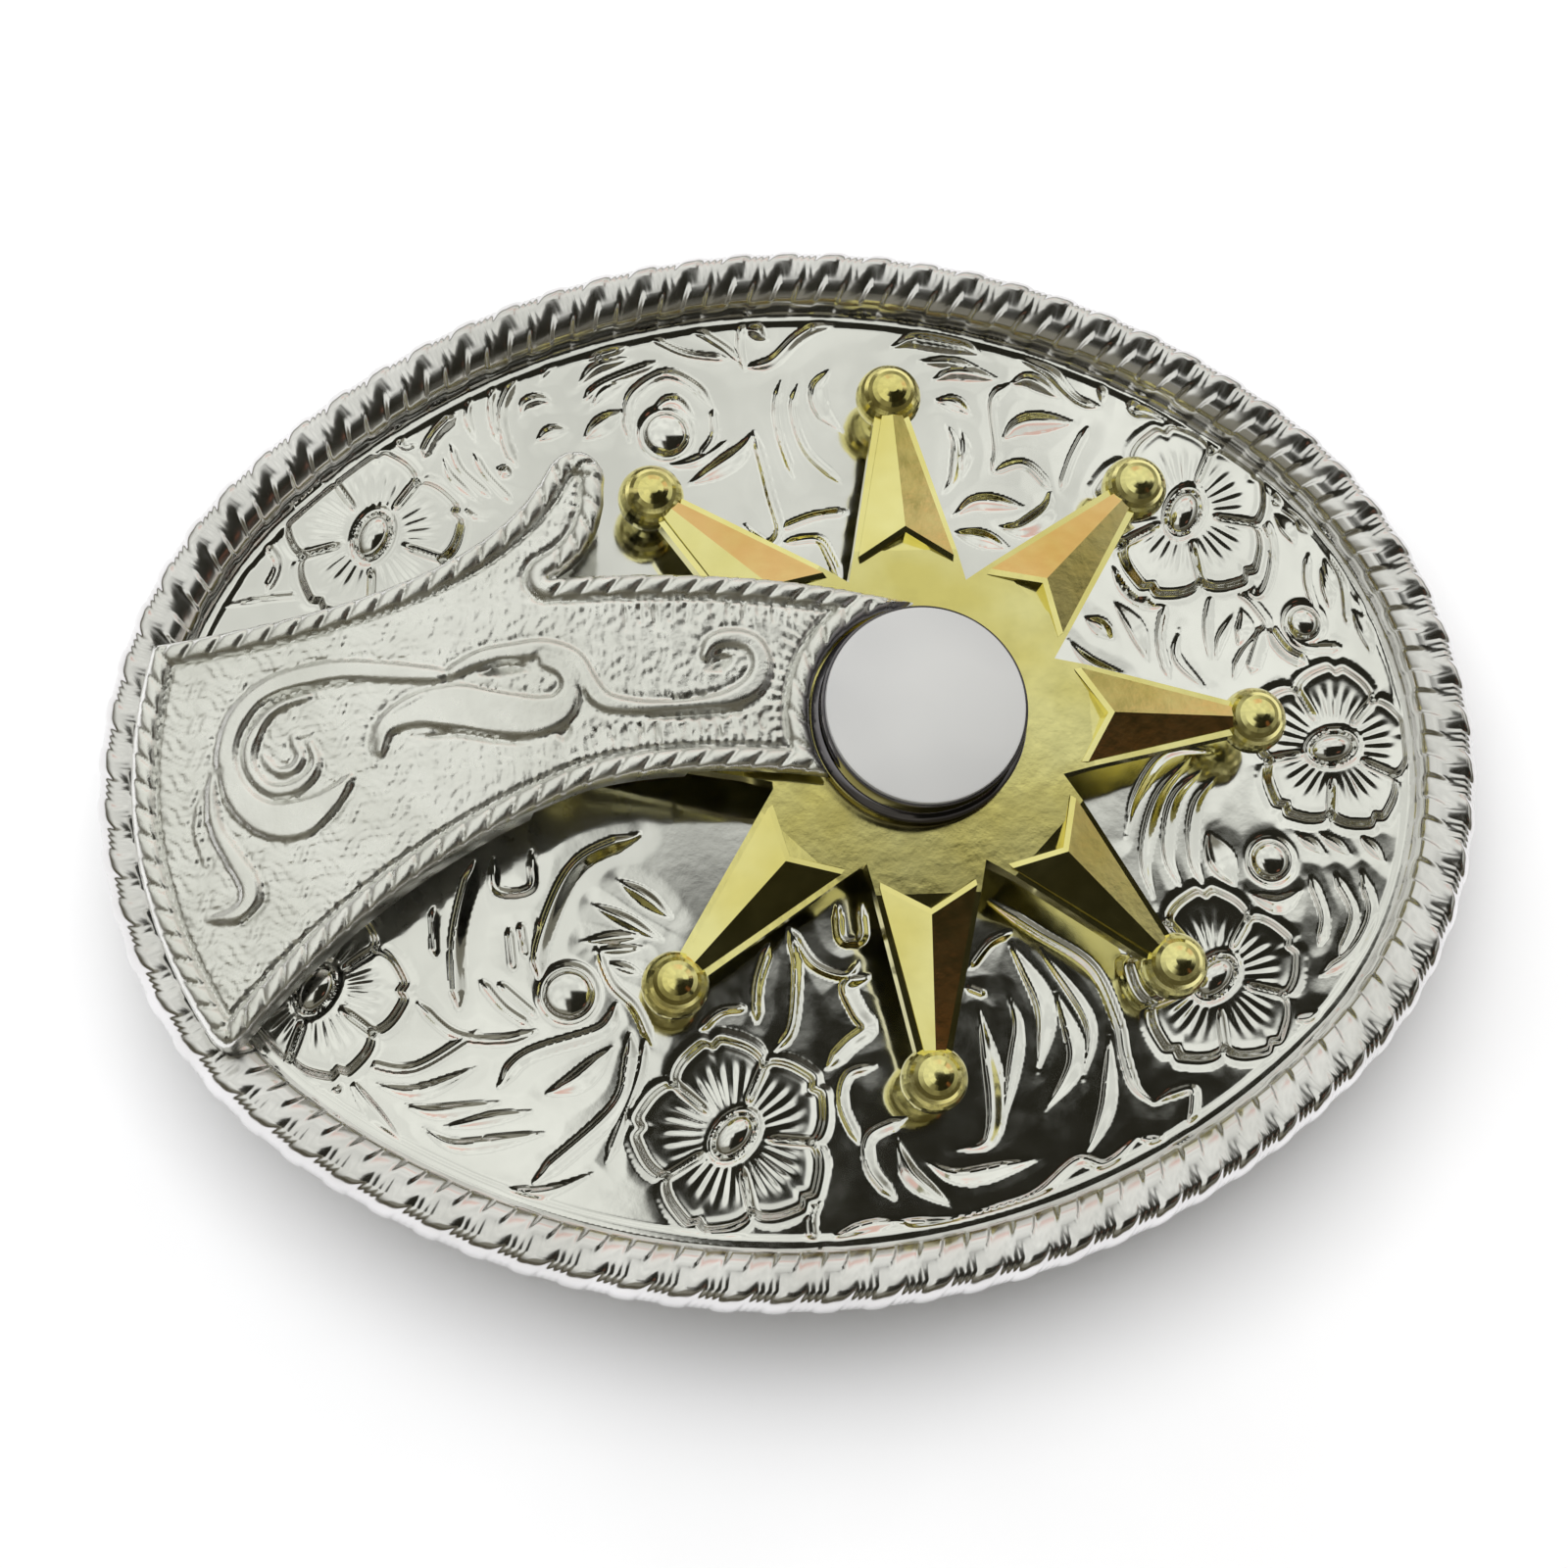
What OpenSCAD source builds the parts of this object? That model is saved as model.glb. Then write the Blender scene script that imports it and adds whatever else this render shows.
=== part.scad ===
// Western trophy belt buckle: an oval plate with a twisted-rope edge, a spur
// shank laid across it, and a rowel (star wheel) that turns on a riveted axle.
// A wire bail and a hook on the back hold the belt.
// The buckle lies face up: +Z out of the face, +X along the oval, and z = 0
// is the plane that the hook and the two hinge lugs stand on.

/* [Plate] */
// Length of the oval over the rope edge
oval_length = 97; // [92:1:104]
// Height of the oval over the rope edge
oval_height = 75.2; // [72:0.2:78]
// Radius of the two ends of the oval
end_radius = 31.5; // [30:0.5:33]
// Radius to which the plate is bent about the Y axis
bend_radius = 470; // [420:10:600]
// Thickness of the sheet
plate_thick = 1.6; // [1.2:0.1:2]
// Height of the plate's back at the middle, above the surface it lies on
plate_standoff = 10.8; // [10.4:0.1:12]

/* [Rope edge] */
// Number of strands round the oval
strand_count = 78; // [60:1:90]
// Diameter of one strand
strand_d = 3.4; // [3.2:0.1:3.8]
// Length of one strand across the rope
strand_len = 2.9; // [2.7:0.1:3.2]
// Lean of the strands away from the oval's normal, in degrees
strand_lean = 32; // [20:1:40]

/* [Flowers] */
// Radius of a petal
petal_r = 2.3; // [2:0.1:2.6]
// Height of the petals above the field
petal_high = 0.7; // [0.4:0.1:1]

/* [Rowel] */
// Place of the axle along the oval
axle_x = 6.9; // [5:0.1:9]
// Place of the axle above the long axis
axle_y = 1.1; // [0:0.1:3]
// Number of points
point_count = 8; // [6:1:9]
// Angle of the first point
point_turn = -2.2; // [-10:0.1:10]
// Radius of the circle through the ball tips
ball_circle_r = 24.1; // [22:0.1:25]
// Diameter of a ball tip
ball_d = 4.6; // [4:0.1:5]
// Radius of the flat hub
hub_r = 10.3; // [9:0.1:11]
// Radius of the hole that turns on the bushing
rowel_bore_r = 2.6; // [2.4:0.1:3]

/* [Medallion] */
// Outer radius of the cup
cup_r = 7.5; // [7:0.1:8]
// Radius of the plain disc
disc_r = 7; // [6.5:0.1:7.4]

/* [Spur shank] */
// Radius of the arched top surface
shank_bend_r = 140; // [130:5:150]
// Depth of the shank's side walls
shank_depth = 3.4; // [3:0.1:4]

/* [Belt bail and hook] */
// Diameter of the bail's wire
bail_wire_d = 3; // [2.6:0.1:3.2]
// Clear width for the belt between the bail's arms
belt_width = 40; // [38:0.5:40]
// Distance from the hinge to the bail's outer bar
bail_reach = 14; // [12:0.5:15]
// Place of the hinge along the oval
hinge_x = 20; // [17:0.5:21]
// Place of the hook's post along the oval
hook_x = -38; // [-39:0.5:-34]
// Diameter of the hook's rod
hook_d = 3.8; // [3.2:0.1:4]
// Straight length of the hook's tip
hook_tip = 2.2; // [1.5:0.1:3]

/* [Hidden] */
$fn = 64;
half_l = oval_length / 2;
half_h = oval_height / 2;
field_z = plate_standoff + plate_thick;      // top of the plate at its middle
bend_center_z = field_z - bend_radius;

// The oval is drawn from four arcs: two end arcs and two side arcs.
end_c = half_l - end_radius;
side_radius = (end_c^2 + half_h^2 - end_radius^2) / (2 * (half_h - end_radius));
side_c = side_radius - half_h;
joint_angle = atan2(side_c, end_c);          // where an end arc meets a side arc

// width of the rope is a leaning strand's reach, and its middle line is half of that in
rope_width = strand_len * cos(strand_lean) + strand_d * sin(strand_lean);
rope_in = rope_width / 2;
rope_lift = 1.1;                             // rope's middle above the field
plate_inset = 0.9;                           // plate's edge, in from the rope's edge
ledge_in = 5.4;                              // inner side of the low ledge by the rope
ledge_high = 0.5;

petal_count = 5;
petal_ring_r = 3.2;                          // circle through the petals' middles
flower_core_r = 1.7;
// Middle of each flower and the angle of its first petal
FLOWERS = [
    [-28.3, 18.5, 20], [-33.4, -13.1, 70], [-7.6, -24.6, 40],
    [27.3, -17.8, 10], [28.4, 16.3, 60], [37.0, -1.6, 0]
];

scroll_w = 1.1;
scroll_high = 0.6;
// Middle, radius, first angle and sweep of each raised scroll stem
SCROLLS = [
    [-4, 11, 16, 62, 50], [-14.5, 26.3, 3.8, -20, 250], [-16.5, -14, 5.6, 30, 270],
    [5, -22, 8.5, 195, 140], [17.5, -25.4, 4, -10, 230], [33.5, 7.8, 4.2, 60, 230],
    [36, -11.5, 4, 100, 240], [17, 25.2, 4.4, 10, 220]
];

// Heights in the stack on the axle
collar_top_z = field_z + 3.9;
hub_low_z = collar_top_z + 0.4;
hub_top_z = field_z + 6.85;
cup_low_z = hub_top_z + 0.35;
cup_floor = 1.1;
cup_top_z = field_z + 10.7;
disc_top_z = field_z + 11.1;
disc_thick = 1.2;
washer_gap = 0.05;
ball_z = field_z + 3.85;
ball_r = ball_d / 2;

collar_r = 4.6;
bushing_r = rowel_bore_r - 0.05;
axle_r = 1.5;
axle_bore_r = 1.55;
axle_head_r = 3;
axle_head_high = 1;
washer_r = 4.4;
back_washer_r = 4;
back_washer_thick = 0.8;
tail_r = 2.4;
axle_back_z = back_z(axle_x + back_washer_r) - back_washer_thick;

point_root_w = 7.9;                          // width of a point where it leaves the hub
point_tip_w = 2.2;                           // width of a point at its ball
point_root_z = hub_low_z + 1.9;              // edge of a point, at the hub
point_tip_z = ball_z + 0.55;                 // edge of a point, at the ball
point_tilt = atan((point_root_z - point_tip_z) / (ball_circle_r - hub_r));
point_thick = 1.5;
roof_slope = 17;                             // slope of a point's two roof faces
point_root_in = 0.6;                         // reach of a point inside the hub's rim
roof_high = point_root_w / 2 * tan(roof_slope);
roof_top_z = point_root_z + roof_high + point_root_in * tan(point_tilt);

shank_apex_x = -3;
shank_apex_z = field_z + 9.1;
flange_low_z = field_z + 0.85;               // shank's underside over the rope
sweep_gap = 0.4;
foot_r = 2.6;
foot_low_z = field_z - 4;                    // below the plate's top at every foot
foot_top_z = field_z + 2.2;
FEET = [[-38.5, 7.6], [-40.5, -6.0]];
rivet_r = 1;
rivet_head_r = 1.8;
rivet_head_high = 0.7;
rivet_top_z = field_z + 0.8;

wire_r = bail_wire_d / 2;
arm_y = belt_width / 2 + wire_r;
hinge_z = 3;
droop = asin((hinge_z - wire_r) / bail_reach);
bar_corner_r = 4;
pin_corner_r = 2.5;
pin_clear = 0.08;
lug_outer_y = arm_y - pin_corner_r - 0.4;
lug_len = 4.6;
lug_y = lug_outer_y - lug_len / 2;
lug_r = hinge_z;
lug_stem_w = 4;
pin_end_y = lug_outer_y - lug_len + 0.6;

hook_r = hook_d / 2;
hook_bend_r = 2.7;
hook_knee_z = hook_r + hook_bend_r;
hook_base_r = 4;
hook_base_z = back_z(hook_x) - 1;

// Height of the plate's top and back surfaces at a place along the oval
function top_z(x) = bend_center_z + sqrt(bend_radius^2 - x^2);
function back_z(x) = bend_center_z + sqrt((bend_radius - plate_thick)^2 - x^2);

// Middle and radius of the oval's arc that faces angle a
function arc_center(a) =
    let (w = (a + 90) % 360 - 90)
    abs(w) <= joint_angle ? [end_c, 0]
    : w < 180 - joint_angle && w > 0 ? [0, -side_c]
    : abs(w - 180) <= joint_angle ? [-end_c, 0]
    : [0, side_c];
function arc_radius(a, inset) =
    (arc_center(a)[0] != 0 ? end_radius : side_radius) - inset;
function oval_point(a, inset) =
    arc_center(a) + arc_radius(a, inset) * [cos(a), sin(a)];

// Facing angle at a distance s along the oval's middle line
function quarter_end(inset) = (end_radius - inset) * joint_angle * PI / 180;
function quarter_side(inset) = (side_radius - inset) * (90 - joint_angle) * PI / 180;
function quarter(inset) = quarter_end(inset) + quarter_side(inset);
function first_quarter_angle(s, inset) =
    s < quarter_end(inset)
    ? s / (end_radius - inset) * 180 / PI
    : joint_angle + (s - quarter_end(inset)) / (side_radius - inset) * 180 / PI;
function facing_angle(s, inset) =
    let (q = quarter(inset), turn = floor(s / q), rest = s - turn * q)
    turn % 2 == 0
    ? turn * 90 + first_quarter_angle(rest, inset)
    : (turn + 1) * 90 - first_quarter_angle(q - rest, inset);

// Points along a curve from p to r that leaves and arrives towards q
function curve(p, q, r, steps = 12) =
    [for (i = [0 : steps - 1]) let (t = i / steps)
        (1 - t)^2 * p + 2 * t * (1 - t) * q + t^2 * r];

// Flat oval, drawn in from the outer edge by inset
module oval(inset) {
    joint_x = oval_point(joint_angle, inset)[0];
    for (side = [-1, 1])
        translate([side * end_c, 0])
            circle(r = end_radius - inset, $fn = 180);
    intersection() {
        for (side = [0 : 1])
            intersection_for (way = [-1, 1])
                translate([0, way * side_c])
                    circle(r = side_radius - inset, $fn = 360);
        square([2 * joint_x, oval_height], center = true);
    }
}

// Solid cylinder along Y whose upper surface is the plate's bend, lowered by drop
module bend_body(drop) {
    translate([0, 0, bend_center_z])
        rotate([90, 0, 0])
            cylinder(r = bend_radius - drop, h = oval_height + 10, center = true, $fn = 1440);
}

// Slice of the bend between two depths below the field, cut to the oval
module bent_oval(inset, upper, lower) {
    intersection() {
        linear_extrude(field_z + 6)
            oval(inset);
        difference() {
            bend_body(-upper);
            bend_body(lower);
        }
    }
}

module at_axle(z) {
    translate([axle_x, axle_y, z])
        children();
}

module flower(place) {
    translate([place[0], place[1], top_z(place[0]) - 0.6]) {
        linear_extrude(0.6 + petal_high)
            for (i = [0 : petal_count - 1])
                rotate(place[2] + i * 360 / petal_count)
                    translate([petal_ring_r, 0])
                        circle(r = petal_r);
        cylinder(r = flower_core_r, h = 0.6 + petal_high + 0.4);
    }
}

module scroll(place) {
    translate([place[0], place[1], top_z(abs(place[0]) + place[2]) - 0.4])
        rotate(place[3])
            rotate_extrude(angle = place[4], $fn = 96)
                translate([place[2] - scroll_w / 2, 0])
                    square([scroll_w, 0.4 + scroll_high + place[2] * 0.03]);
}

module face_plate() {
    color("gainsboro")
        difference() {
            union() {
                bent_oval(plate_inset, 0, plate_thick);
                difference() {
                    bent_oval(rope_width + 0.05, ledge_high, 0.2);
                    translate([0, 0, -1])
                        linear_extrude(field_z + 8)
                            oval(ledge_in);
                }
                for (place = FLOWERS)
                    flower(place);
                for (place = SCROLLS)
                    scroll(place);
            }
            at_axle(0)
                cylinder(r = axle_bore_r, h = field_z + 5);
            for (foot = FEET)
                translate([foot[0], foot[1], 0])
                    cylinder(r = rivet_r + 0.05, h = field_z + 5);
        }
}

module rope_border() {
    step = 4 * quarter(rope_in) / strand_count;
    color("silver")
        difference() {
            for (i = [0 : strand_count - 1]) {
                a = facing_angle(i * step, rope_in);
                p = oval_point(a, rope_in);
                translate([p[0], p[1], top_z(p[0]) + rope_lift])
                    rotate([0, 90, a - strand_lean])
                        cylinder(d = strand_d, h = strand_len, center = true, $fn = 32);
            }
            bend_body(0);
        }
}

// Outline of the shank, seen from above: a broad left end on the rope, a short
// prong upward, and an arm that narrows to the cup
function shank_outline() = concat(
    curve([-43.9, 10.9], [-49.0, -2.5], [-41.6, -16.2]),
    curve([-41.6, -16.2], [-40.6, -17.8], [-39.3, -16.5], 4),
    curve([-39.3, -16.5], [-29.0, -6.2], [-15.8, -2.2]),
    curve([-15.8, -2.2], [-9.5, -0.9], [0.5, -2.7], 6),
    [[0.5, -2.7], [axle_x, axle_y]],
    curve([axle_x + 0.6, axle_y + cup_r + 0.4], [-3.5, 12.2], [-17.2, 12.4]),
    curve([-17.2, 12.4], [-13.6, 13.6], [-12.9, 18.4], 6),
    [for (a = [-20 : 20 : 140]) [-14.9, 19.2] + 2 * [cos(a), sin(a)]],
    curve([-16.8, 20.0], [-21.8, 11.4], [-43.9, 10.9])
);

module shank_arch(depth) {
    translate([shank_apex_x, 0, shank_apex_z - shank_bend_r])
        rotate([90, 0, 0])
            cylinder(r = shank_bend_r - depth, h = oval_height, center = true, $fn = 720);
}

// Room that the rowel needs to turn under the shank
module rowel_sweep() {
    at_axle(field_z) {
        cylinder(r = ball_circle_r + ball_r + sweep_gap, h = ball_z + ball_r + sweep_gap - field_z,
            $fn = 180);
        cylinder(r = hub_r + 6, h = roof_top_z + sweep_gap - field_z, $fn = 120);
    }
}

module spur_shank() {
    color("whitesmoke")
        difference() {
            union() {
                difference() {
                    intersection() {
                        linear_extrude(shank_apex_z + 1)
                            polygon(shank_outline());
                        shank_arch(0);
                    }
                    shank_arch(shank_depth);
                    translate([-60, -40, -1])
                        cube([120, 80, flange_low_z + 1]);
                    rowel_sweep();
                }
                for (foot = FEET)
                    difference() {
                        translate([foot[0], foot[1], foot_low_z])
                            cylinder(r = foot_r, h = foot_top_z - foot_low_z);
                        bend_body(0);
                    }
            }
            at_axle(cup_low_z - 2)
                cylinder(r = cup_r, h = 8);
            for (foot = FEET)
                translate([foot[0], foot[1], foot_low_z])
                    cylinder(r = rivet_r, h = rivet_top_z - foot_low_z);
        }
}

module shank_rivets() {
    color("darkgray")
        for (foot = FEET) {
            seat_z = back_z(foot[0] - rivet_head_r);
            translate([foot[0], foot[1], seat_z - rivet_head_high])
                cylinder(r = rivet_head_r, h = rivet_head_high);
            translate([foot[0], foot[1], seat_z - rivet_head_high / 2])
                cylinder(r = rivet_r, h = rivet_top_z - seat_z + rivet_head_high / 2);
        }
}

module medallion_cup() {
    color("dimgray")
        difference() {
            at_axle(cup_low_z)
                cylinder(r = cup_r, h = cup_top_z - cup_low_z);
            at_axle(disc_top_z - disc_thick)
                cylinder(r = disc_r, h = 5);
            at_axle(cup_low_z + cup_floor)
                cylinder(r = disc_r - 0.8, h = 5);
            at_axle(cup_low_z - 1)
                cylinder(r = axle_bore_r, h = 5);
        }
}

module medallion_disc() {
    color("lightgray")
        at_axle(disc_top_z - disc_thick)
            cylinder(r = disc_r - 0.02, h = disc_thick);
}

// One point of the rowel, lying along +X: a tapered bar with a ridged roof
module rowel_point() {
    root_x = hub_r - point_root_in;
    tip_x = ball_circle_r - 1;
    length = tip_x - root_x;
    taper = atan((point_root_w - point_tip_w) / 2 / (tip_x - hub_r));
    translate([hub_r, 0, point_root_z - hub_low_z])
        rotate([0, point_tilt, 0])
            difference() {
                translate([root_x - hub_r, 0, -point_thick])
                    linear_extrude(point_thick + roof_high + 0.5)
                        polygon([
                            [0, -point_root_w / 2 + 0.2], [point_root_in, -point_root_w / 2],
                            [length, -point_tip_w / 2], [length, point_tip_w / 2],
                            [point_root_in, point_root_w / 2], [0, point_root_w / 2 - 0.2]
                        ]);
                for (side = [-1, 1])
                    translate([0, side * point_root_w / 2, 0])
                        rotate([0, 0, -side * taper])
                            rotate([side * -roof_slope, 0, 0])
                                translate([-20, side > 0 ? -20 : -4, 0])
                                    cube([60, 24, 10]);
            }
}

module rowel() {
    color("khaki")
        at_axle(hub_low_z)
            difference() {
                union() {
                    cylinder(r = hub_r, h = hub_top_z - hub_low_z, $fn = 120);
                    for (i = [0 : point_count - 1])
                        rotate(point_turn + i * 360 / point_count) {
                            rowel_point();
                            translate([ball_circle_r, 0, ball_z - hub_low_z])
                                sphere(r = ball_r, $fn = 48);
                        }
                }
                translate([0, 0, -1])
                    cylinder(r = rowel_bore_r, h = 6);
            }
}

module rowel_bushing() {
    color("goldenrod")
        difference() {
            union() {
                at_axle(field_z - 2)
                    cylinder(r = collar_r, h = collar_top_z - field_z + 2);
                at_axle(collar_top_z - 1)
                    cylinder(r = bushing_r, h = cup_low_z - collar_top_z + 1);
            }
            bend_body(0);
            at_axle(0)
                cylinder(r = axle_bore_r, h = 30);
        }
}

module ring_washer(z, outer, inner, thick) {
    at_axle(z)
        difference() {
            cylinder(r = outer, h = thick);
            translate([0, 0, -1])
                cylinder(r = inner, h = thick + 2);
        }
}

module lower_washer() {
    color("ivory")
        ring_washer(collar_top_z, washer_r, rowel_bore_r, hub_low_z - collar_top_z - washer_gap);
}

module upper_washer() {
    color("ivory")
        ring_washer(hub_top_z + washer_gap, washer_r, rowel_bore_r,
            cup_low_z - hub_top_z - washer_gap);
}

module rowel_axle() {
    color("silver") {
        at_axle(axle_back_z)
            cylinder(r = axle_r, h = cup_low_z + cup_floor + 0.5 - axle_back_z);
        at_axle(cup_low_z + cup_floor)
            cylinder(r = axle_head_r, h = axle_head_high);
        at_axle(axle_back_z - 0.8)
            cylinder(r = tail_r, h = 0.8);
    }
}

module axle_backing_washer() {
    color("darkgray")
        ring_washer(axle_back_z, back_washer_r, axle_bore_r, back_washer_thick);
}

module hinge_lug(side) {
    translate([hinge_x, side * lug_y, hinge_z])
        rotate([90, 0, 0])
            difference() {
                union() {
                    cylinder(r = lug_r, h = lug_len, center = true);
                    intersection() {
                        translate([-lug_stem_w / 2, 0, -lug_len / 2])
                            cube([lug_stem_w, 10, lug_len]);
                        translate([-hinge_x, -hinge_z, side * lug_y])
                            rotate([-90, 0, 0])
                                bend_body(plate_thick);
                    }
                }
                cylinder(r = wire_r + pin_clear, h = lug_len + 2, center = true);
            }
}

module hinge_lug_upper() {
    color("darkgray")
        hinge_lug(1);
}

module hinge_lug_lower() {
    color("darkgray")
        hinge_lug(-1);
}

// Quarter bend of wire from +X to +Y about the origin
module wire_corner(radius, wire) {
    rotate_extrude(angle = 90, $fn = 96)
        translate([radius, 0])
            circle(r = wire, $fn = 48);
}

// Straight wire from the origin along a direction given by its angles
module wire_rod(length, wire, turn) {
    rotate(turn)
        translate([0, 0, -length])
            cylinder(r = wire, h = length, $fn = 48);
}

module bail_side() {
    bar_half = arm_y - bar_corner_r;
    translate([bail_reach, bar_half, 0])
        wire_rod(bar_half, wire_r, [-90, 0, 0]);
    translate([bail_reach - bar_corner_r, bar_half, 0])
        wire_corner(bar_corner_r, wire_r);
    translate([bail_reach - bar_corner_r, arm_y, 0])
        wire_rod(bail_reach - bar_corner_r - pin_corner_r, wire_r, [0, 90, 0]);
    translate([pin_corner_r, arm_y - pin_corner_r, 0])
        rotate(90)
            wire_corner(pin_corner_r, wire_r);
    translate([0, arm_y - pin_corner_r, 0])
        wire_rod(arm_y - pin_corner_r - pin_end_y, wire_r, [-90, 0, 0]);
}

module belt_bail() {
    color("silver")
        translate([hinge_x, 0, hinge_z])
            rotate([0, droop, 0]) {
                bail_side();
                mirror([0, 1, 0])
                    bail_side();
            }
}

module belt_hook() {
    color("silver") {
        intersection() {
            translate([hook_x, 0, hook_base_z])
                cylinder(r = hook_base_r, h = 3);
            bend_body(plate_thick);
        }
        translate([hook_x, 0, hook_knee_z])
            cylinder(r = hook_r, h = hook_base_z - hook_knee_z + 0.3, $fn = 48);
        translate([hook_x + hook_bend_r, 0, hook_knee_z])
            rotate([90, 0, 0])
                rotate(180)
                    wire_corner(hook_bend_r, hook_r);
        translate([hook_x + hook_bend_r, 0, hook_r]) {
            rotate([0, 90, 0])
                cylinder(r = hook_r, h = hook_tip, $fn = 48);
            translate([hook_tip, 0, 0])
                sphere(r = hook_r, $fn = 48);
        }
    }
}

face_plate();
rope_border();
spur_shank();
shank_rivets();
medallion_cup();
medallion_disc();
rowel();
rowel_bushing();
lower_washer();
upper_washer();
rowel_axle();
axle_backing_washer();
hinge_lug_upper();
hinge_lug_lower();
belt_bail();
belt_hook();
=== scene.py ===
import math
from itertools import chain

import bpy
import numpy as np
from mathutils import Matrix, Vector


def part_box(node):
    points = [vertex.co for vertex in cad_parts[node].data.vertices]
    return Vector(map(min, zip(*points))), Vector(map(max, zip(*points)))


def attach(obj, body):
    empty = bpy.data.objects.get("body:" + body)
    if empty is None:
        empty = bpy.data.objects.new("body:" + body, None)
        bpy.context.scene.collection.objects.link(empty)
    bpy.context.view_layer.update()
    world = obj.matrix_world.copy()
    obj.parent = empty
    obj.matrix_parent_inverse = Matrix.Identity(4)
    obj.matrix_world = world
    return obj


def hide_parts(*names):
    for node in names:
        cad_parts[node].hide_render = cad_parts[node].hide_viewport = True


# Western trophy buckle. Lengths are in millimetres until a mesh is made.
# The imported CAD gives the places; the detailed meshes here stand for its visible nodes.

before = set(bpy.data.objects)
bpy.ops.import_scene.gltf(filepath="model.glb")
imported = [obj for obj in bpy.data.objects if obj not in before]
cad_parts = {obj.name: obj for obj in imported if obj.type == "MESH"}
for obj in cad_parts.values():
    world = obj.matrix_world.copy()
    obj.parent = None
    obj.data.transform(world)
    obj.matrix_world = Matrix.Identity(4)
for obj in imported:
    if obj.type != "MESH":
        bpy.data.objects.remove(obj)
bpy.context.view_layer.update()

MM = 0.001


def node_box(node):
    """Lowest and highest corner of a CAD node, in millimetres."""
    return tuple(np.array(corner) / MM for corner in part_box(node))


# ---- driving sizes

rope_low, rope_high = node_box("rope_border")
disc_low, disc_high = node_box("medallion_disc")
cup_low, cup_high = node_box("medallion_cup")
rowel_low, rowel_high = node_box("rowel")
shank_low, shank_high = node_box("spur_shank")

HALF_LENGTH = (rope_high[0] - rope_low[0]) / 2
HALF_HEIGHT = (rope_high[1] - rope_low[1]) / 2
END_RADIUS = 31.5
BEND_RADIUS = 470.0
PLATE_THICK = 1.6
PLATE_INSET = 0.9
ROPE_STRANDS = 78
ROPE_HALF_WIDTH = 2.1
ROPE_HIGH = 2.8
STRAND_LEAN = math.tan(math.radians(32))
FIELD_Z = rope_high[2] - ROPE_HIGH

AXLE = (disc_low[:2] + disc_high[:2]) / 2
CUP_RADIUS = (cup_high[0] - cup_low[0]) / 2
DISC_RADIUS = (disc_high[0] - disc_low[0]) / 2
HUB_TOP = FIELD_Z + 6.85
BALL_RADIUS = 2.3
BALL_CIRCLE = 24.1
BALL_Z = rowel_low[2] + BALL_RADIUS
POINT_COUNT = 8
POINT_TURN = math.radians(-2.2)

SHANK_BEND = 140.0
SHANK_APEX_X = -3.0
SHANK_DEPTH = 3.4
SHANK_TOP = shank_high[2]
EDGING_WIDTH = 1.55
BEAD_PITCH = 1.83

END_CENTRE = HALF_LENGTH - END_RADIUS
SIDE_RADIUS = (END_CENTRE**2 + HALF_HEIGHT**2 - END_RADIUS**2) / (2 * (HALF_HEIGHT - END_RADIUS))
SIDE_CENTRE = SIDE_RADIUS - HALF_HEIGHT
ARC_JOINT = math.atan2(SIDE_CENTRE, END_CENTRE)


def field_top(x):
    """Height of the plate's bent top surface."""
    return FIELD_Z - BEND_RADIUS + np.sqrt(BEND_RADIUS**2 - x**2)


def shank_arch(x):
    """Height of the shank's arched top surface."""
    return SHANK_TOP - SHANK_BEND + np.sqrt(SHANK_BEND**2 - (x - SHANK_APEX_X) ** 2)


# ---- curves and distances


def oval_points(inset, count):
    """Points equally spaced round the four-arc oval, with the outward normal of each."""
    end_len = (END_RADIUS - inset) * ARC_JOINT
    side_len = (SIDE_RADIUS - inset) * (math.pi / 2 - ARC_JOINT)
    quarter = end_len + side_len
    points = []
    for i in range(count):
        s = 4 * quarter * i / count
        turn = int(s // quarter)
        rest = s - turn * quarter
        if turn % 2:
            rest = quarter - rest
        if rest < end_len:
            angle = rest / (END_RADIUS - inset)
            centre, radius = (END_CENTRE, 0.0), END_RADIUS - inset
        else:
            angle = ARC_JOINT + (rest - end_len) / (SIDE_RADIUS - inset)
            centre, radius = (0.0, -SIDE_CENTRE), SIDE_RADIUS - inset
        normal = np.array([math.cos(angle), math.sin(angle)])
        place = np.array(centre) + radius * normal
        flip = np.array([(1, 1), (-1, 1), (-1, -1), (1, -1)][turn % 4])
        points.append(np.concatenate([place * flip, normal * flip]))
    return np.array(points), 4 * quarter


def bend(p, q, r, steps=14):
    """Points along a curve from p to r that leaves and arrives towards q, without r."""
    t = (np.arange(steps) / steps)[:, None]
    return (1 - t) ** 2 * np.array(p) + 2 * t * (1 - t) * np.array(q) + t**2 * np.array(r)


def arc(centre, radius, first, last, steps=10):
    """Points along an arc, angles in degrees."""
    a = np.radians(np.linspace(first, last, steps))
    return np.array(centre) + radius * np.stack([np.cos(a), np.sin(a)], 1)


def smooth_path(points, spacing=0.22):
    """A smooth curve through the points; any further columns are carried along."""
    p = np.array(points, float)
    p = np.vstack([2 * p[0] - p[1], p, 2 * p[-1] - p[-2]])
    rows = []
    for a, b, c, d in zip(p[:-3], p[1:-2], p[2:-1], p[3:]):
        steps = max(2, int(math.dist(b[:2], c[:2]) / spacing))
        t = (np.arange(steps) / steps)[:, None]
        first = (c - a) / 2
        second = a - 2.5 * b + 2 * c - d / 2
        third = (3 * b - a - 3 * c + d) / 2
        rows.append(b + first * t + second * t**2 + third * t**3)
    return np.vstack(rows + [p[-2:-1]])


def ease(value, low, high):
    """0 below low, 1 above high, smooth between."""
    t = np.clip((value - low) / (high - low), 0, 1)
    return t * t * (3 - 2 * t)


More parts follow.
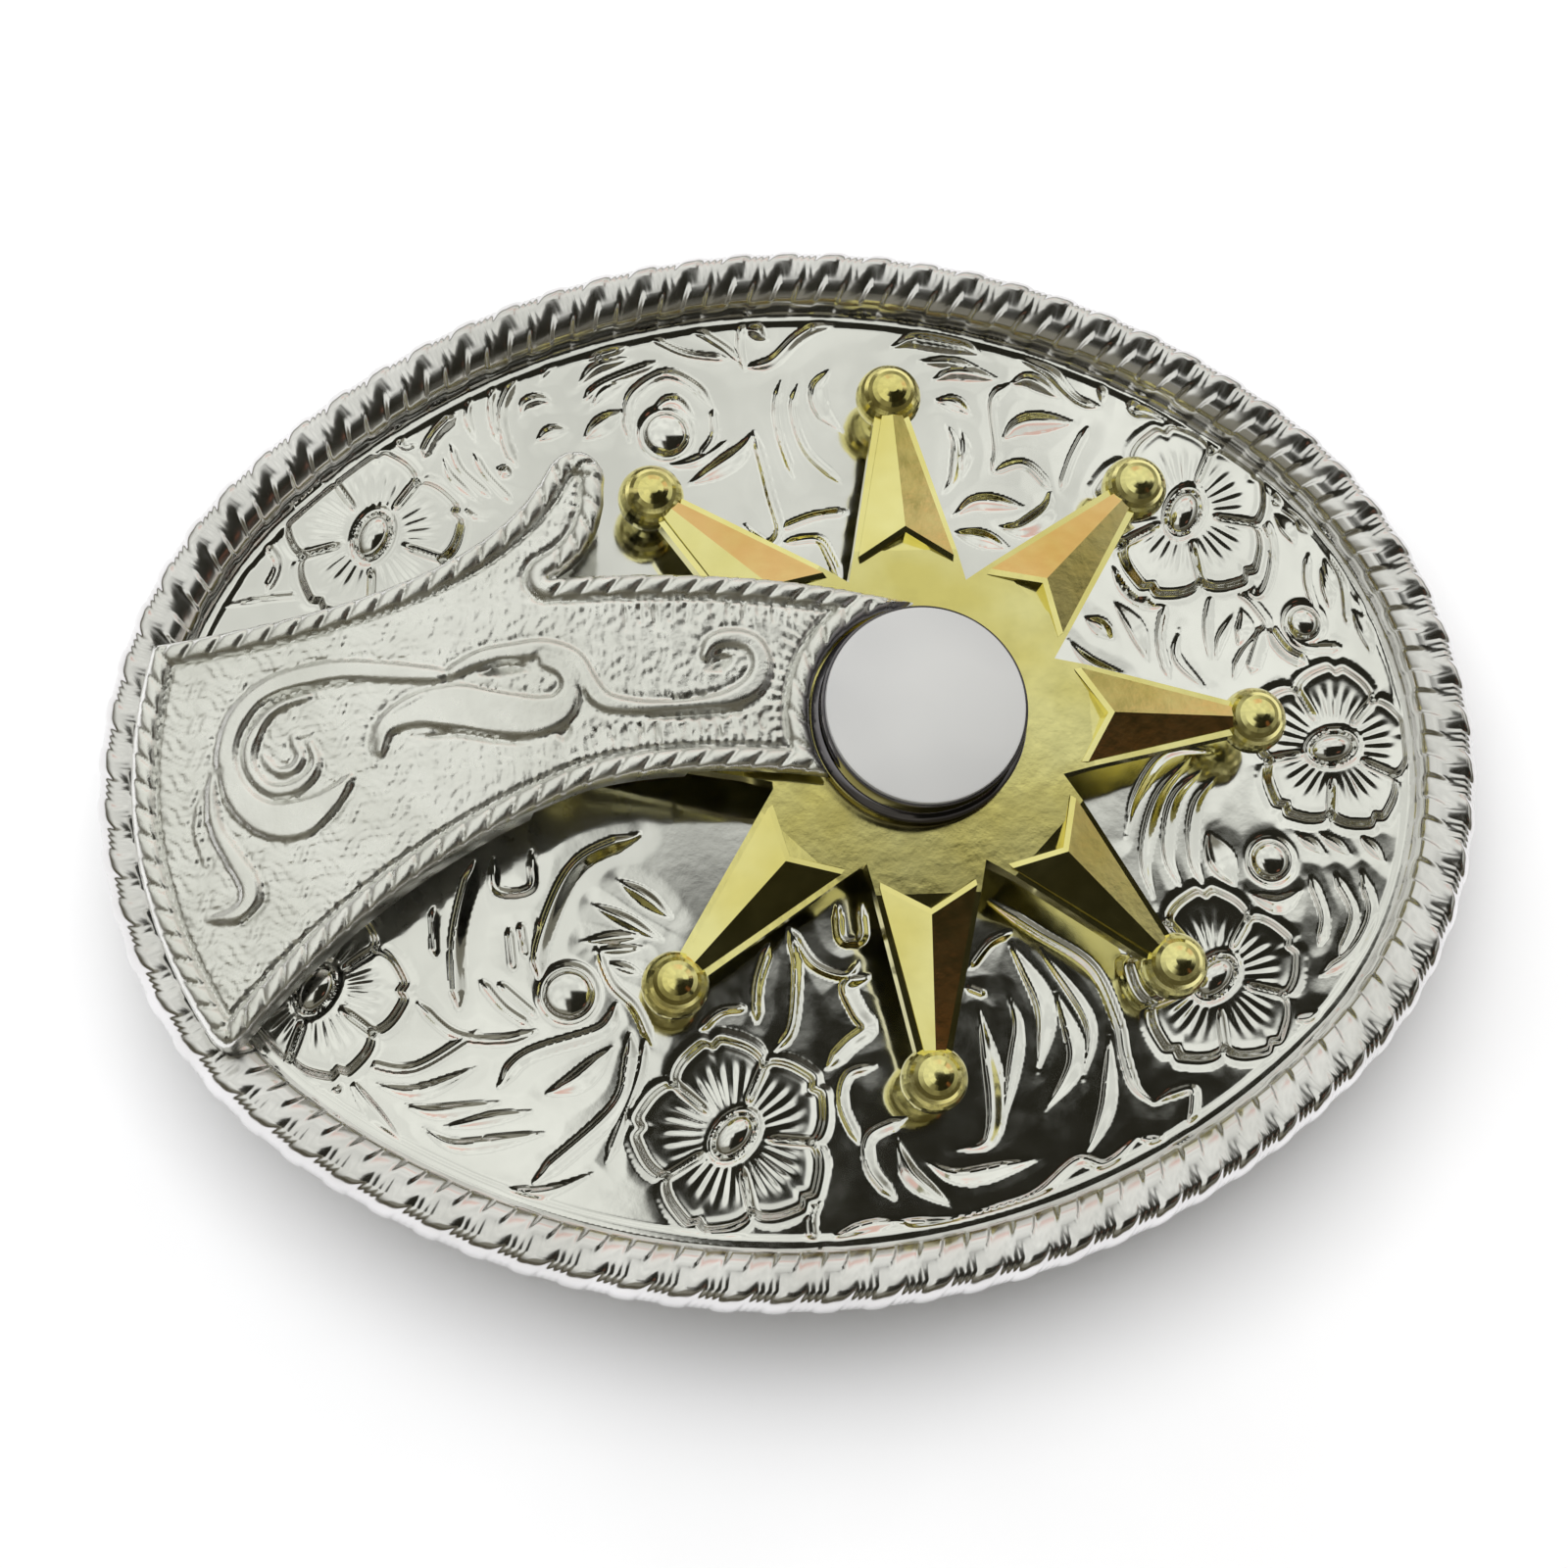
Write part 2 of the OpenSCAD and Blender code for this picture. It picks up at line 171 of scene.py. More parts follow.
def bell(value, middle, width):
    """1 at the middle, falling smoothly to 0 on both sides."""
    return np.exp(-(((value - middle) / width) ** 2))


def outline_distance(points, outline):
    """Distance inside a closed outline, its nearest place, and how far along it that is."""
    best = np.full(len(points), np.inf)
    nearest = np.zeros_like(points)
    along = np.zeros(len(points))
    inside = np.zeros(len(points), bool)
    run = 0.0
    for a, b in zip(outline, np.roll(outline, -1, axis=0)):
        side = b - a
        length = math.hypot(*side)
        t = np.clip((points - a) @ side / length**2, 0, 1)
        foot = a + t[:, None] * side
        gap = np.hypot(*(points - foot).T)
        closer = gap < best
        best[closer] = gap[closer]
        nearest[closer] = foot[closer]
        along[closer] = run + t[closer] * length
        if side[1]:
            crosses = (a[1] > points[:, 1]) != (b[1] > points[:, 1])
            inside ^= crosses & (points[:, 0] < a[0] + (points[:, 1] - a[1]) * side[0] / side[1])
        run += length
    return np.where(inside, best, -best), nearest, along


# ---- meshes


def weld(vertices, faces):
    """The same mesh with vertices that share a place made one."""
    first, place = {}, []
    for vertex in vertices:
        place.append(first.setdefault(tuple(round(c, 4) for c in vertex), len(first)))
    return list(first), [[place[i] for i in face] for face in faces]


def make_piece(name, body, node, material, shape, sharp=50):
    """A mesh object that rides on a body and stands for a CAD node. Its material is the one given,
    and its shape is (vertices, faces) in millimetres."""
    vertices, faces = shape
    mesh = bpy.data.meshes.new(name)
    mesh.from_pydata((np.asarray(vertices) * MM).tolist(), [], faces)
    mesh.validate()
    mesh.shade_smooth()
    mesh.set_sharp_from_angle(angle=math.radians(sharp))
    mesh.materials.append(material)
    piece = bpy.data.objects.new(name, mesh)
    bpy.context.scene.collection.objects.link(piece)
    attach(piece, body)
    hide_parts(node)
    return piece


def sheet_mesh(outline, step, top, low, block=8):
    """A closed sheet over an outline: a fine top, a wall, and a back in larger faces.
    top(points, gap, along) and low(points) give the heights."""
    corner = outline.min(0) - step
    nx, ny = (np.ceil((outline.max(0) + step - corner) / step)).astype(int) + 1
    gx, gy = np.meshgrid(corner[0] + step * np.arange(nx), corner[1] + step * np.arange(ny), indexing="ij")
    points = np.stack([gx.ravel(), gy.ravel()], 1)
    gap, nearest, along = outline_distance(points, outline)
    snap = np.abs(gap) < step / 2
    points[snap] = nearest[snap]
    gap[snap] = 0
    kept = gap >= 0
    index = np.arange(nx * ny).reshape(nx, ny)
    cells = np.stack([index[:-1, :-1], index[1:, :-1], index[1:, 1:], index[:-1, 1:]], -1)
    held = kept[cells]
    quads = cells[held.all(-1)]
    three = cells[held.sum(-1) == 3]
    triangles = three[kept[three]].reshape(-1, 3)
    triangles = triangles[(gap[triangles] > 0).any(1)]
    top_faces = quads.tolist() + triangles.tolist()

    edges = [quads[:, [k, (k + 1) % 4]] for k in range(4)]
    edges += [triangles[:, [k, (k + 1) % 3]] for k in range(3)]
    edges = np.vstack(edges)
    key = np.sort(edges, 1) @ np.array([nx * ny, 1])
    _, first, count = np.unique(key, return_index=True, return_counts=True)
    rim = edges[first[count == 1]]
    shift = nx * ny
    walls = np.stack([rim[:, 1], rim[:, 0], rim[:, 0] + shift, rim[:, 1] + shift], 1).tolist()

    back_faces = []
    full = held.all(-1)
    done = np.zeros_like(full)
    for i in range(0, nx - 1 - block, block):
        for j in range(0, ny - 1 - block, block):
            if full[i : i + block, j : j + block].all():
                ring = np.concatenate(
                    [
                        index[i : i + block, j],
                        index[i + block, j : j + block],
                        index[i + block : i : -1, j + block],
                        index[i, j + block : j : -1],
                    ]
                )
                back_faces.append((ring[::-1] + shift).tolist())
                done[i : i + block, j : j + block] = True
    back_faces += (cells[full & ~done][:, ::-1] + shift).tolist()
    back_faces += (triangles[:, ::-1] + shift).tolist()

    faces = top_faces + walls + back_faces
    high = np.column_stack([points, top(points, gap, along)])
    under = np.column_stack([points, low(points)])
    vertices = np.vstack([high, under])
    used = np.unique(np.fromiter(chain.from_iterable(faces), int))
    place = np.full(len(vertices), -1)
    place[used] = np.arange(len(used))
    place = place.tolist()
    return vertices[used], [[place[i] for i in face] for face in faces]


def lathe_mesh(centre, profile, segments):
    """A closed ring turned about a vertical axis from a closed (radius, height) profile."""
    radius, height = np.array(profile).T
    count = len(profile)
    rows = []
    for a in np.arange(segments) * 2 * math.pi / segments:
        x = centre[0] + radius * math.cos(a)
        y = centre[1] + radius * math.sin(a)
        rows.append(np.column_stack([x, y, height]))
    faces = []
    for i in range(segments):
        here, there = i * count, (i + 1) % segments * count
        for k in range(count):
            n = (k + 1) % count
            faces.append([here + k, there + k, there + n, here + n])
    return np.vstack(rows), faces


# ---- relief

# A cut is deepest past its middle, and steep on the left of a path that runs along STEEP_SIDE
GROOVE_WIDEN = 1.4
CUT_DEEPEST = 0.5
STEEP_SIDE = np.array([0.85, 0.5])
CALM_REACH = 1.6
PETAL_HIGH = 0.55
PETAL_RIBS = 30
PETAL_RIB_HIGH = 0.032
NOTCH = 0.07
CORE_RADIUS = 1.75
CORE_HIGH = 0.9
CORE_SQUASH = 0.66


class Relief:
    """Grooves, ridges and domes on a flat field, all in millimetres above it."""

    def __init__(self, points):
        self.points = points
        self.cut = np.zeros(len(points))
        self.rise = np.zeros(len(points))
        self.calm = np.full(len(points), CALM_REACH)

    def near_path(self, path, reach):
        """Points within reach of a path, how far off it and at which row, and which side (1 is left)."""
        low, high = path[:, :2].min(0) - reach, path[:, :2].max(0) + reach
        near = np.flatnonzero(((self.points > low) & (self.points < high)).all(1))
        gap = np.full(len(near), np.inf)
        row = np.zeros(len(near))
        left = np.zeros(len(near))
        here = self.points[near]
        for k, (a, b) in enumerate(zip(path[:-1, :2], path[1:, :2])):
            side = b - a
            t = np.clip((here - a) @ side / (side @ side + 1e-9), 0, 1)
            away = here - a - t[:, None] * side
            d = np.hypot(*away.T)
            closer = d < gap
            gap[closer] = d[closer]
            row[closer] = k + t[closer]
            left[closer] = np.sign(side[0] * away[closer, 1] - side[1] * away[closer, 0])
        return near, gap, row, left

    def groove(self, width, *points, lens=False, slope=0.65):
        """A cut along the points; a lens is widest in the middle, a line only tapers at its ends."""
        path = smooth_path(points)
        near, gap, row, left = self.near_path(path, width + CALM_REACH)
        t = row / (len(path) - 1)
        taper = np.sin(np.pi * t) if lens else np.clip(6 * np.minimum(t, 1 - t) + 0.25, 0, 1)
        half = np.maximum(GROOVE_WIDEN * width / 2 * taper, 0.05)
        along = path[-1, :2] - path[0, :2]
        across = left * gap / half * math.copysign(1, along @ STEEP_SIDE)
        deepest = CUT_DEEPEST * np.clip((half - 0.2) / 0.3, 0, 1)
        floor = np.clip((across + 1) / (1 + deepest), 0, 1)
        wall = np.clip((1 - across) / (1 - deepest), 0, 1)
        cut = slope * half * ease(np.minimum(floor, wall), -0.25, 1.1) * (gap < half)
        self.cut[near] = np.maximum(self.cut[near], cut)
        self.calm[near] = np.minimum(self.calm[near], np.maximum(gap - half, 0))

    def ribbon(self, high, *points):
        """A raised band through (x, y, width) points."""
        path = smooth_path(points)
        near, gap, row, _ = self.near_path(path, path[:, 2].max() / 2 + 0.5)
        half = np.interp(row, np.arange(len(path)), path[:, 2]) / 2
        rise = high * (1 - ease(gap, half - 0.42, half + 0.08))
        rise *= np.clip(half / 0.45, 0.3, 1)
        self.rise[near] = np.maximum(self.rise[near], rise)
        edge_line = 0.08 * bell(gap - half, 0.15, 0.16)
        self.cut[near] = np.maximum(self.cut[near], edge_line)

    def dome(self, centre, radius, high, squash=1.0, turn=0.0):
        """A rounded button with a ring groove about it."""
        offset = self.points - np.array(centre)
        c, s = math.cos(math.radians(turn)), math.sin(math.radians(turn))
        lengthwise = offset[:, 0] * c + offset[:, 1] * s
        sideways = (offset[:, 1] * c - offset[:, 0] * s) / squash
        across = np.hypot(lengthwise, sideways)
        inside = across < radius
        self.rise[inside] = high * np.sqrt(1 - (across[inside] / radius) ** 2)
        ring = 0.2 * bell(across - radius, 0.25, 0.25)
        self.cut = np.where(inside, 0, np.maximum(self.cut, ring))
        self.calm = np.minimum(self.calm, np.maximum(across - radius, 0))

    def flower(self, centre, reach, turn, core_turn=45):
        """Five ribbed petals with notched edges about a tilted oval core."""
        offset = self.points - np.array(centre)
        r = np.hypot(*offset.T)
        angle = np.arctan2(offset[:, 1], offset[:, 0]) - math.radians(turn)
        lobe = np.abs(np.cos(2.5 * angle))
        # rounded lobes, with a slight point and a notch at the middle of each
        edge = reach * (0.77 + 0.2 * lobe**0.55 + 0.04 * lobe**12 - NOTCH * lobe**90)
        inside = r < edge + 0.6
        petal = PETAL_HIGH * ease(edge - r, 0, 0.55)
        rim = 0.03 * bell(edge - r, 0.65, 0.3)
        dish = 0.06 * bell(r / edge, 0.55, 0.25)
        ribs = PETAL_RIB_HIGH * np.cos(PETAL_RIBS * angle) * lobe**0.5
        ribs *= ease(r, 1.9, 2.6) * (1 - ease(r / edge, 0.55, 0.8))
        split = 0.34 * bell(r * lobe / 2.5, 0, 0.22) * ease(r, 2.0, 3.0)
        moat = 0.05 * bell(r - edge, 0.15, 0.3)
        height = petal + (rim - dish - ribs - split) * (r < edge) - moat
        self.rise = np.where(inside, np.maximum(height, 0), self.rise)
        self.cut = np.where(inside, np.maximum(-height, 0), self.cut)
        self.calm = np.where(inside, 0, np.minimum(self.calm, np.maximum(r - edge, 0)))
        self.dome(centre, CORE_RADIUS, CORE_HIGH, squash=CORE_SQUASH, turn=core_turn)

    def height(self, pillow=0.03):
        """The whole relief, with the calm areas between cuts slightly crowned."""
        return self.rise - self.cut + pillow * ease(self.calm, -0.4, CALM_REACH)


# Middle, reach, angle of the first petal and tilt of the core of each flower
FLOWERS = [
    ((-28.6, 18.6), 6.5, 12, 65),
    ((-34.6, -12.9), 6.3, -6, 55),
    ((-7.4, -25.2), 6.9, 26, 45),
    ((27.2, -16.9), 6.5, 18, 40),
    ((29.2, 16.9), 6.8, 24, 60),
    ((38.0, -1.0), 6.3, 8, 10),
]

# Cuts of constant width: width, then the points they pass
LINES = [
    # lower left, beside the second flower
    (0.6, (-37, -16.8), (-35, -18.3), (-35.4, -20.8), (-37.7, -18.9)),
    (0.5, (-32, -18), (-28.5, -18.8), (-24, -16.7)),
    (0.5, (-28, -14.2), (-25.6, -16.7), (-22.5, -17.4), (-20, -17)),
    (0.5, (-33.9, -18.3), (-33.5, -20)),
    (0.5, (-34.3, -22), (-33.3, -21.2)),
    (0.8, (-23.3, -5), (-24.8, -10), (-25.1, -15)),
    (0.45, (-26.3, -8), (-26.4, -11.3)),
    (0.45, (-22, -4.8), (-21.9, -7.1), (-19.6, -7.1), (-19.4, -4.6)),
    (0.4, (-21.3, -9.8), (-21.2, -12.7)),
    (0.4, (-20.5, -9.5), (-20.3, -11.8)),
    (0.4, (-19.2, -9.3), (-19.4, -13)),
    (0.45, (-23.5, -13.2), (-22.1, -15.2), (-20.4, -16.6)),
    (0.4, (-22.3, -13.5), (-19.9, -16)),
    # scroll round the lower left dome
    (0.8, (-19.5, -13.7), (-19.1, -10.8), (-16.4, -5.9), (-12, -4)),
    (0.7, (-14.5, -15.6), (-15.6, -17.3), (-20.7, -18.6), (-22.8, -20.5)),
    (0.8, (-13.8, -17.8), (-13.9, -19.8), (-15.2, -22.8), (-20.9, -27.1)),
    (0.5, (-12.8, -18.2), (-13.3, -20.4), (-14.7, -23.5), (-16, -26.2)),
    (0.45, (-15.5, -11.5), (-14.7, -14.1), (-13.2, -16), (-12.3, -18.6)),
    # blades and ribbons over the third flower
    (0.4, (-9, -17.8), (-7.5, -16.7), (-5.8, -16.6)),
    (0.5, (-5.1, -17.6), (-4.8, -15), (-3.8, -12.4)),
    (0.5, (-4.1, -19.7), (-2.7, -18), (-2, -13.8), (-2.3, -11.3)),
    (0.5, (-2.3, -11.3), (-0.9, -13.9), (1.2, -14.9), (2.2, -14.1)),
    (0.5, (1.2, -10), (1.2, -12.2), (2, -12.6), (2.8, -12.2), (2.8, -10)),
    (0.8, (2.8, -15.1), (1.4, -15.6), (1.9, -17.4), (2.5, -18.6), (1.1, -19.6), (-0.6, -21.1)),
    (0.5, (2.7, -21.2), (0.8, -21.7), (0.2, -23.7), (1.1, -26.4)),
    (0.6, (4.4, -25), (1.9, -26), (1.7, -28.1), (3.1, -30.3)),
    (0.6, (-1.3, -28.6), (-2.7, -31), (-2.3, -33.2), (0.4, -32.1), (3.1, -31.8)),
    # lower right leaf
    (0.55, (2.2, -31.7), (6.6, -32.2), (10.2, -31.6), (13, -30.8), (16, -28.8), (18, -29.2),
     (20.3, -27.5)),
    (0.55, (20.3, -27.5), (21.8, -27.9), (23.7, -28.1), (24.8, -24.7), (23.4, -24.6), (21.8, -25.3)),
    (0.55, (21.8, -25.3), (20.6, -24), (20.1, -21.7), (19.9, -19.3), (18.5, -15.5), (15, -12.8),
     (11.8, -10.4)),
    (0.4, (10, -15), (11.5, -13.4), (13.1, -12.7)),
    (0.4, (9.6, -16.3), (10.8, -16.9)),
    # right, under the fifth flower and by the sixth
    (0.5, (32.5, -20.2), (34.7, -20.3), (32.7, -22.7)),
    (0.8, (34.3, 8.2), (33.4, 6.3), (32.8, 4.9)),
    (0.8, (34.3, 8.2), (35.5, 6.3), (37, 5.4)),
    (0.5, (33, 13.5), (33, 15.4), (35.2, 15.9), (35.5, 13.4), (34.6, 11), (33.6, 10.8), (33, 13.5)),
    (0.6, (36.7, 17), (40.4, 14.4), (42, 11.5), (43.6, 8), (44, 5.2)),
    (0.6, (39, -10), (39.4, -13), (37.6, -15.7), (35, -17.2)),
    (0.5, (35.2, -10.2), (35.8, -13), (35.2, -15)),
    (0.5, (37, -10.1), (38, -13), (36.5, -16)),
    (0.4, (38.2, 13.5), (37.9, 11.3), (38.5, 8.1)),
    (0.4, (39.7, 13.7), (40.6, 11.2), (40.5, 8)),
    (0.45, (27, 10.2), (26.3, 7.6), (26.6, 4.8)),
    (0.6, (28.4, 11.6), (29.4, 12.3), (31.2, 12.5)),
    (0.7, (26.2, 24.75), (27.9, 24.7), (29.6, 24.1)),
    (0.7, (27.3, 26.1), (26.2, 24.8)),
    (0.5, (31.8, 11), (33, 10.6), (34, 9.4), (34.4, 8.2), (32.9, 6.9), (31.9, 5.6), (31.4, 4.5)),
    (0.6, (35.9, 7.6), (37.1, 6.6), (39.7, 6.4)),
    # top right: the swooping leaf and its folds
    (0.6, (-1.6, 29.4), (0.4, 29.7), (2.7, 31.6), (5.4, 32.7), (8.7, 32.7)),
    (0.6, (8.7, 32.7), (12.2, 32), (16.9, 30.5), (20.2, 28.3), (22.4, 26)),
    (0.5, (17.9, 29.9), (20.2, 28.1), (22.4, 25.8), (24, 25.2)),
    (0.5, (21.4, 29.6), (23.4, 28.3), (24.2, 26.8), (24.2, 25.5)),
    (0.5, (17.5, 27.2), (16.2, 26), (16.1, 22.3), (15.5, 20.6)),
    (0.5, (15.5, 20.6), (17.9, 21.1), (19.6, 19.2)),
    (0.45, (22.9, 23.7), (21.5, 21.5), (20.4, 19.1)),
    (0.5, (-0.8, 34), (-1.6, 31.8), (-1.6, 29.2)),
    (0.5, (-9.6, 32.4), (-6.2, 33), (-3.3, 31.3), (-1.6, 29.6)),
    (0.4, (-8.2, 32.1), (-5.7, 30.7), (-2.7, 30.1)),
    # fine turns of the middle scroll
    (0.4, (0.9, 28.2), (0.4, 26.2), (0.5, 24), (1.2, 21)),
    (0.4, (2.1, 27.9), (1.6, 25.9), (2.3, 22.9), (4.5, 20.4)),
    (0.5, (-1.4, 24.6), (-1, 22.6), (-0.6, 19.8), (-0.2, 17.1), (-1.3, 16.1), (-2.7, 17.7)),
    (0.45, (-0.2, 17.2), (2.3, 18), (4.7, 18.2)),
    (0.45, (0, 16.2), (2.4, 16.3), (3.2, 15), (3.7, 13.4)),
    # upper left curl
    (0.6, (-10.2, 24.4), (-10.2, 26), (-9.6, 27.9), (-7.3, 29.2), (-5.3, 28.2), (-4.1, 26.5)),
    (0.45, (-4.1, 26.5), (-4.2, 24.4), (-5.4, 22.8)),
    (0.5, (-13.2, 27.6), (-11.6, 28.8), (-7.8, 30.1)),
    # long leaf and fibres at the upper left
    (0.5, (-20.6, 29.8), (-23.2, 28.3), (-25.8, 27.6), (-26.3, 26.5), (-26.1, 25.1), (-25.1, 25.1)),
    (0.7, (-24.7, 24.2), (-23.7, 25.8), (-22.3, 27.1)),
    (0.4, (-19.4, 29.6), (-19.8, 27.2), (-19.4, 25)),
    (0.6, (-17.9, 29.5), (-18.9, 27.4), (-18.9, 25.2), (-18.3, 23.1)),
    (0.4, (-22.8, 25), (-22.2, 23.1), (-20.3, 21)),
    (0.4, (-21.2, 24.2), (-20.4, 22.5), (-18.8, 20.5)),
    # bud and edge line left of the first flower
    (0.45, (-36.8, 19.5), (-38.1, 18), (-39.2, 16.1)),
    (0.5, (-36.4, 19.2), (-35.4, 17.8), (-35.4, 16.7), (-36.2, 15.3)),
    (0.35, (-39.3, 14.5), (-35.9, 14.8), (-31.2, 14.9), (-26.5, 15.7), (-22.7, 17.2)),
]

# Cuts that are widest in the middle: width, then the points they pass
LENSES = [
    # lower left
    (0.7, (-31.1, -19.6), (-28.1, -20.4), (-24.2, -19.1)),
    (0.7, (-29.2, -21.2), (-26.8, -21.9), (-22.9, -21.6)),
    (0.6, (-26.7, -22.9), (-20.8, -22.4)),
    (0.7, (-28.1, -22.9), (-25.5, -24.3), (-19.8, -23.9)),
    (0.7, (-32.9, -18.6), (-31.4, -21.3), (-29.3, -23.9)),
    (0.6, (-26.5, -27), (-20.9, -27.9), (-17, -26.9)),
    (1.1, (-14.9, -18.4), (-17.3, -20.5), (-19.8, -21.3)),
    (0.8, (-13.7, -7), (-10.2, -10)),
    (0.7, (-15.7, -8.5), (-11, -11.5)),
    (0.6, (-16.5, -11.1), (-12.2, -11)),
    (0.5, (-16, -11.8), (-12.2, -11.9)),
    (0.5, (-14.9, -12.7), (-12.6, -13.7)),
    # lower right leaf
    (0.8, (19.2, -20.2), (18.5, -25.1), (16.5, -28.6)),
    (0.9, (15.7, -16.9), (16.7, -21.7), (14.1, -25.2)),
    (0.6, (15, -14), (17.9, -19.2), (17, -23.3)),
    (1.0, (12.9, -13.4), (14.9, -18), (13.9, -22.5)),
    (0.7, (12.4, -17), (12.8, -19.8), (11.1, -25.8)),
    (1.0, (10.2, -17.7), (10.8, -23.6), (10, -26.9), (7.5, -27.4)),
    (0.9, (5.4, -27.9), (8, -29.2), (13.4, -28.4)),
    (0.9, (3.6, -26.2), (4.4, -28.9), (6.9, -31.1)),
    # feather at the right
    (0.6, (29.7, -0.8), (25.9, -0.7), (23.2, -3.6), (22, -6.7)),
    (0.7, (27.5, -1), (24.9, -3.7), (23.3, -8), (23.6, -11.4)),
    (0.7, (28.5, -1.8), (26, -4), (25, -8), (25.8, -10.8)),
    (0.7, (29.3, -2.4), (27.5, -4.5), (26.8, -8.3), (27.4, -10.8)),
    (1.4, (28, -6.5), (29.5, -10.5)),
    (0.6, (34.5, -7), (36.5, -8.6)),
    (0.6, (36.2, -7), (38.4, -8.8)),
    (0.6, (39.2, -7.3), (40.8, -9.4)),
    (0.9, (30.5, -11), (32.5, -12), (34.4, -11)),
    (0.6, (39.3, 13.2), (40, 10.5)),
    (0.6, (41.5, 11), (42.2, 8.6)),
    (0.5, (30.7, 11.5), (30, 8.7), (29.8, 5.5)),
    (0.5, (32, 9.3), (30.8, 7.4), (30.2, 5.8)),
    (0.5, (27.8, 8.3), (27.4, 6.2), (29.3, 3.7)),
    (0.9, (21, 9.5), (22.1, 8.7), (22.9, 7.8)),
    (0.6, (19.6, 7.9), (21.1, 6.1), (23.4, 5.2)),
    (0.8, (24.3, 14.5), (25.5, 12.7)),
    (1.0, (23.4, 13.3), (24.4, 11.5), (26.2, 10.3), (27.6, 10.7)),
    (0.8, (35.1, 18.6), (36.8, 17.2)),
    (0.9, (37.7, 16.5), (38.6, 15)),
    (0.8, (36, 16.6), (36.9, 15.6), (37.3, 14.2)),
    (0.7, (39, 12.6), (39.4, 11), (39.3, 9.2)),
    (0.8, (40.9, 9.3), (41.8, 7.6), (42, 5.8)),
    (0.9, (23.2, 10.6), (24.6, 8.6), (25.2, 6)),
    (0.7, (21, 6.2), (23.2, 4.2), (25, 3.6)),
    (0.9, (32.6, 9.6), (32.7, 8.2), (32, 6.8)),
    # top right
    (0.9, (-1, 33.2), (-0.5, 32), (0.3, 31.4)),
    (1.2, (9, 30.3), (10.9, 30.8), (13.3, 30.5), (15.8, 29.5)),
    (0.7, (11, 29.2), (13.1, 29), (15.5, 28.5)),
    (0.9, (11.8, 27.7), (13.8, 28.2), (16.8, 27.6)),
    (0.8, (11.9, 26.2), (13.3, 25.9), (14.5, 25)),
    (0.6, (12.5, 24.5), (13.1, 22.7), (12.7, 20.5), (11.7, 19)),
    (0.6, (13.6, 23.9), (13.8, 22.2), (13.2, 20.2)),
    (0.9, (17.5, 27.2), (19.1, 27.4), (21.2, 26)),
    (1.2, (16.4, 23), (18.4, 24.1), (22, 24.1)),
    (1.1, (19.6, 19.2), (19.2, 17.5), (17.4, 16.3), (15.5, 16.5)),
    (0.9, (12.3, 17.5), (14.3, 18.4), (17.6, 17.9)),
    (0.9, (12.2, 16.3), (14.2, 15.7), (16.1, 14.9)),
    # middle and upper left scrolls
    (0.9, (4.6, 29), (3.5, 27.6), (3.7, 25.8), (5, 24.1)),
    (1.0, (-1.4, 24.6), (-2.4, 23.1), (-4.2, 21.9), (-6.4, 20.9)),
    (0.8, (-8.6, 26.4), (-6.9, 27.1), (-5.4, 25.7)),
    (1.0, (-13.5, 24.7), (-11.9, 25.8), (-10.4, 26.7)),
    (0.7, (-12.9, 30.6), (-9.7, 31.5)),
    (0.7, (-17.7, 26.7), (-17.3, 27.6), (-16.1, 27.9), (-15.4, 27.5)),
    (0.7, (-16.8, 24.8), (-15.7, 25.4), (-14.4, 25.5)),
    (0.7, (-19.7, 23), (-18.6, 22.4)),
    (0.6, (-17, 30.5), (-14.6, 31.9), (-12, 32.4)),
    (0.7, (-13.6, 28.7), (-12, 30), (-9.6, 30.6)),
    (0.7, (-12.8, 27), (-11.6, 28.2), (-10, 28.9)),
    (0.5, (-16.2, 29.2), (-15.4, 30.4), (-14, 31.1)),
    (0.5, (-21, 28.8), (-21.4, 27), (-20.9, 25)),
    (0.5, (-23.4, 24.3), (-22.9, 22.6), (-21, 20.6)),
    (0.5, (-38.6, 15.6), (-37.4, 17.2), (-36.9, 18.6)),
    (0.5, (-23.5, 21.5), (-22, 19.9), (-20.6, 19.3)),
    (0.6, (-8, 22.4), (-5.6, 22.6), (-3.2, 24)),
]

# Middle and radius of each domed scroll eye, and their height
EYE_HIGH = 0.45
EYES = [((-17.7, -14.6), 1.6), ((37.2, 8.4), 1.1), ((32.4, -8.8), 1.3), ((-7.6, 24.8), 1.5)]

LEDGE_FROM = 4.35
LEDGE_WIDTH = 0.95
LEDGE_HIGH = 0.12


def plate_top(points, gap, along):
    """The engraved face inside a polished ledge; plain where the rope lies on it."""
    relief = Relief(points)
    for width, *path in LINES:
        relief.groove(width, *path)
    for width, *path in LENSES:
        relief.groove(width, *path, lens=True, slope=0.6)
    for centre, radius in EYES:
        relief.dome(centre, radius, EYE_HIGH)
    for centre, reach, turn, core_turn in FLOWERS:
        relief.flower(centre, reach, turn, core_turn)
    inset = gap + PLATE_INSET
    ledge = ease(inset, LEDGE_FROM - 0.2, LEDGE_FROM)
    ledge *= 1 - ease(inset, LEDGE_FROM + 0.5, LEDGE_FROM + LEDGE_WIDTH)
    under_rope = ease(inset, LEDGE_FROM - 0.4, LEDGE_FROM)
    carved = relief.height() * under_rope
    return field_top(points[:, 0]) + carved * (1 - ledge) + LEDGE_HIGH * ledge


def plate_back(points):
    """The bent back, smooth and parallel to the face."""
    return field_top(points[:, 0]) - PLATE_THICK


# ---- materials


def new_material(name):
    """A material with its node tree and its shader."""
    material = bpy.data.materials.new(name)
    material.use_nodes = True
    tree = material.node_tree
    shader = tree.nodes["Principled BSDF"]
    return material, tree, shader


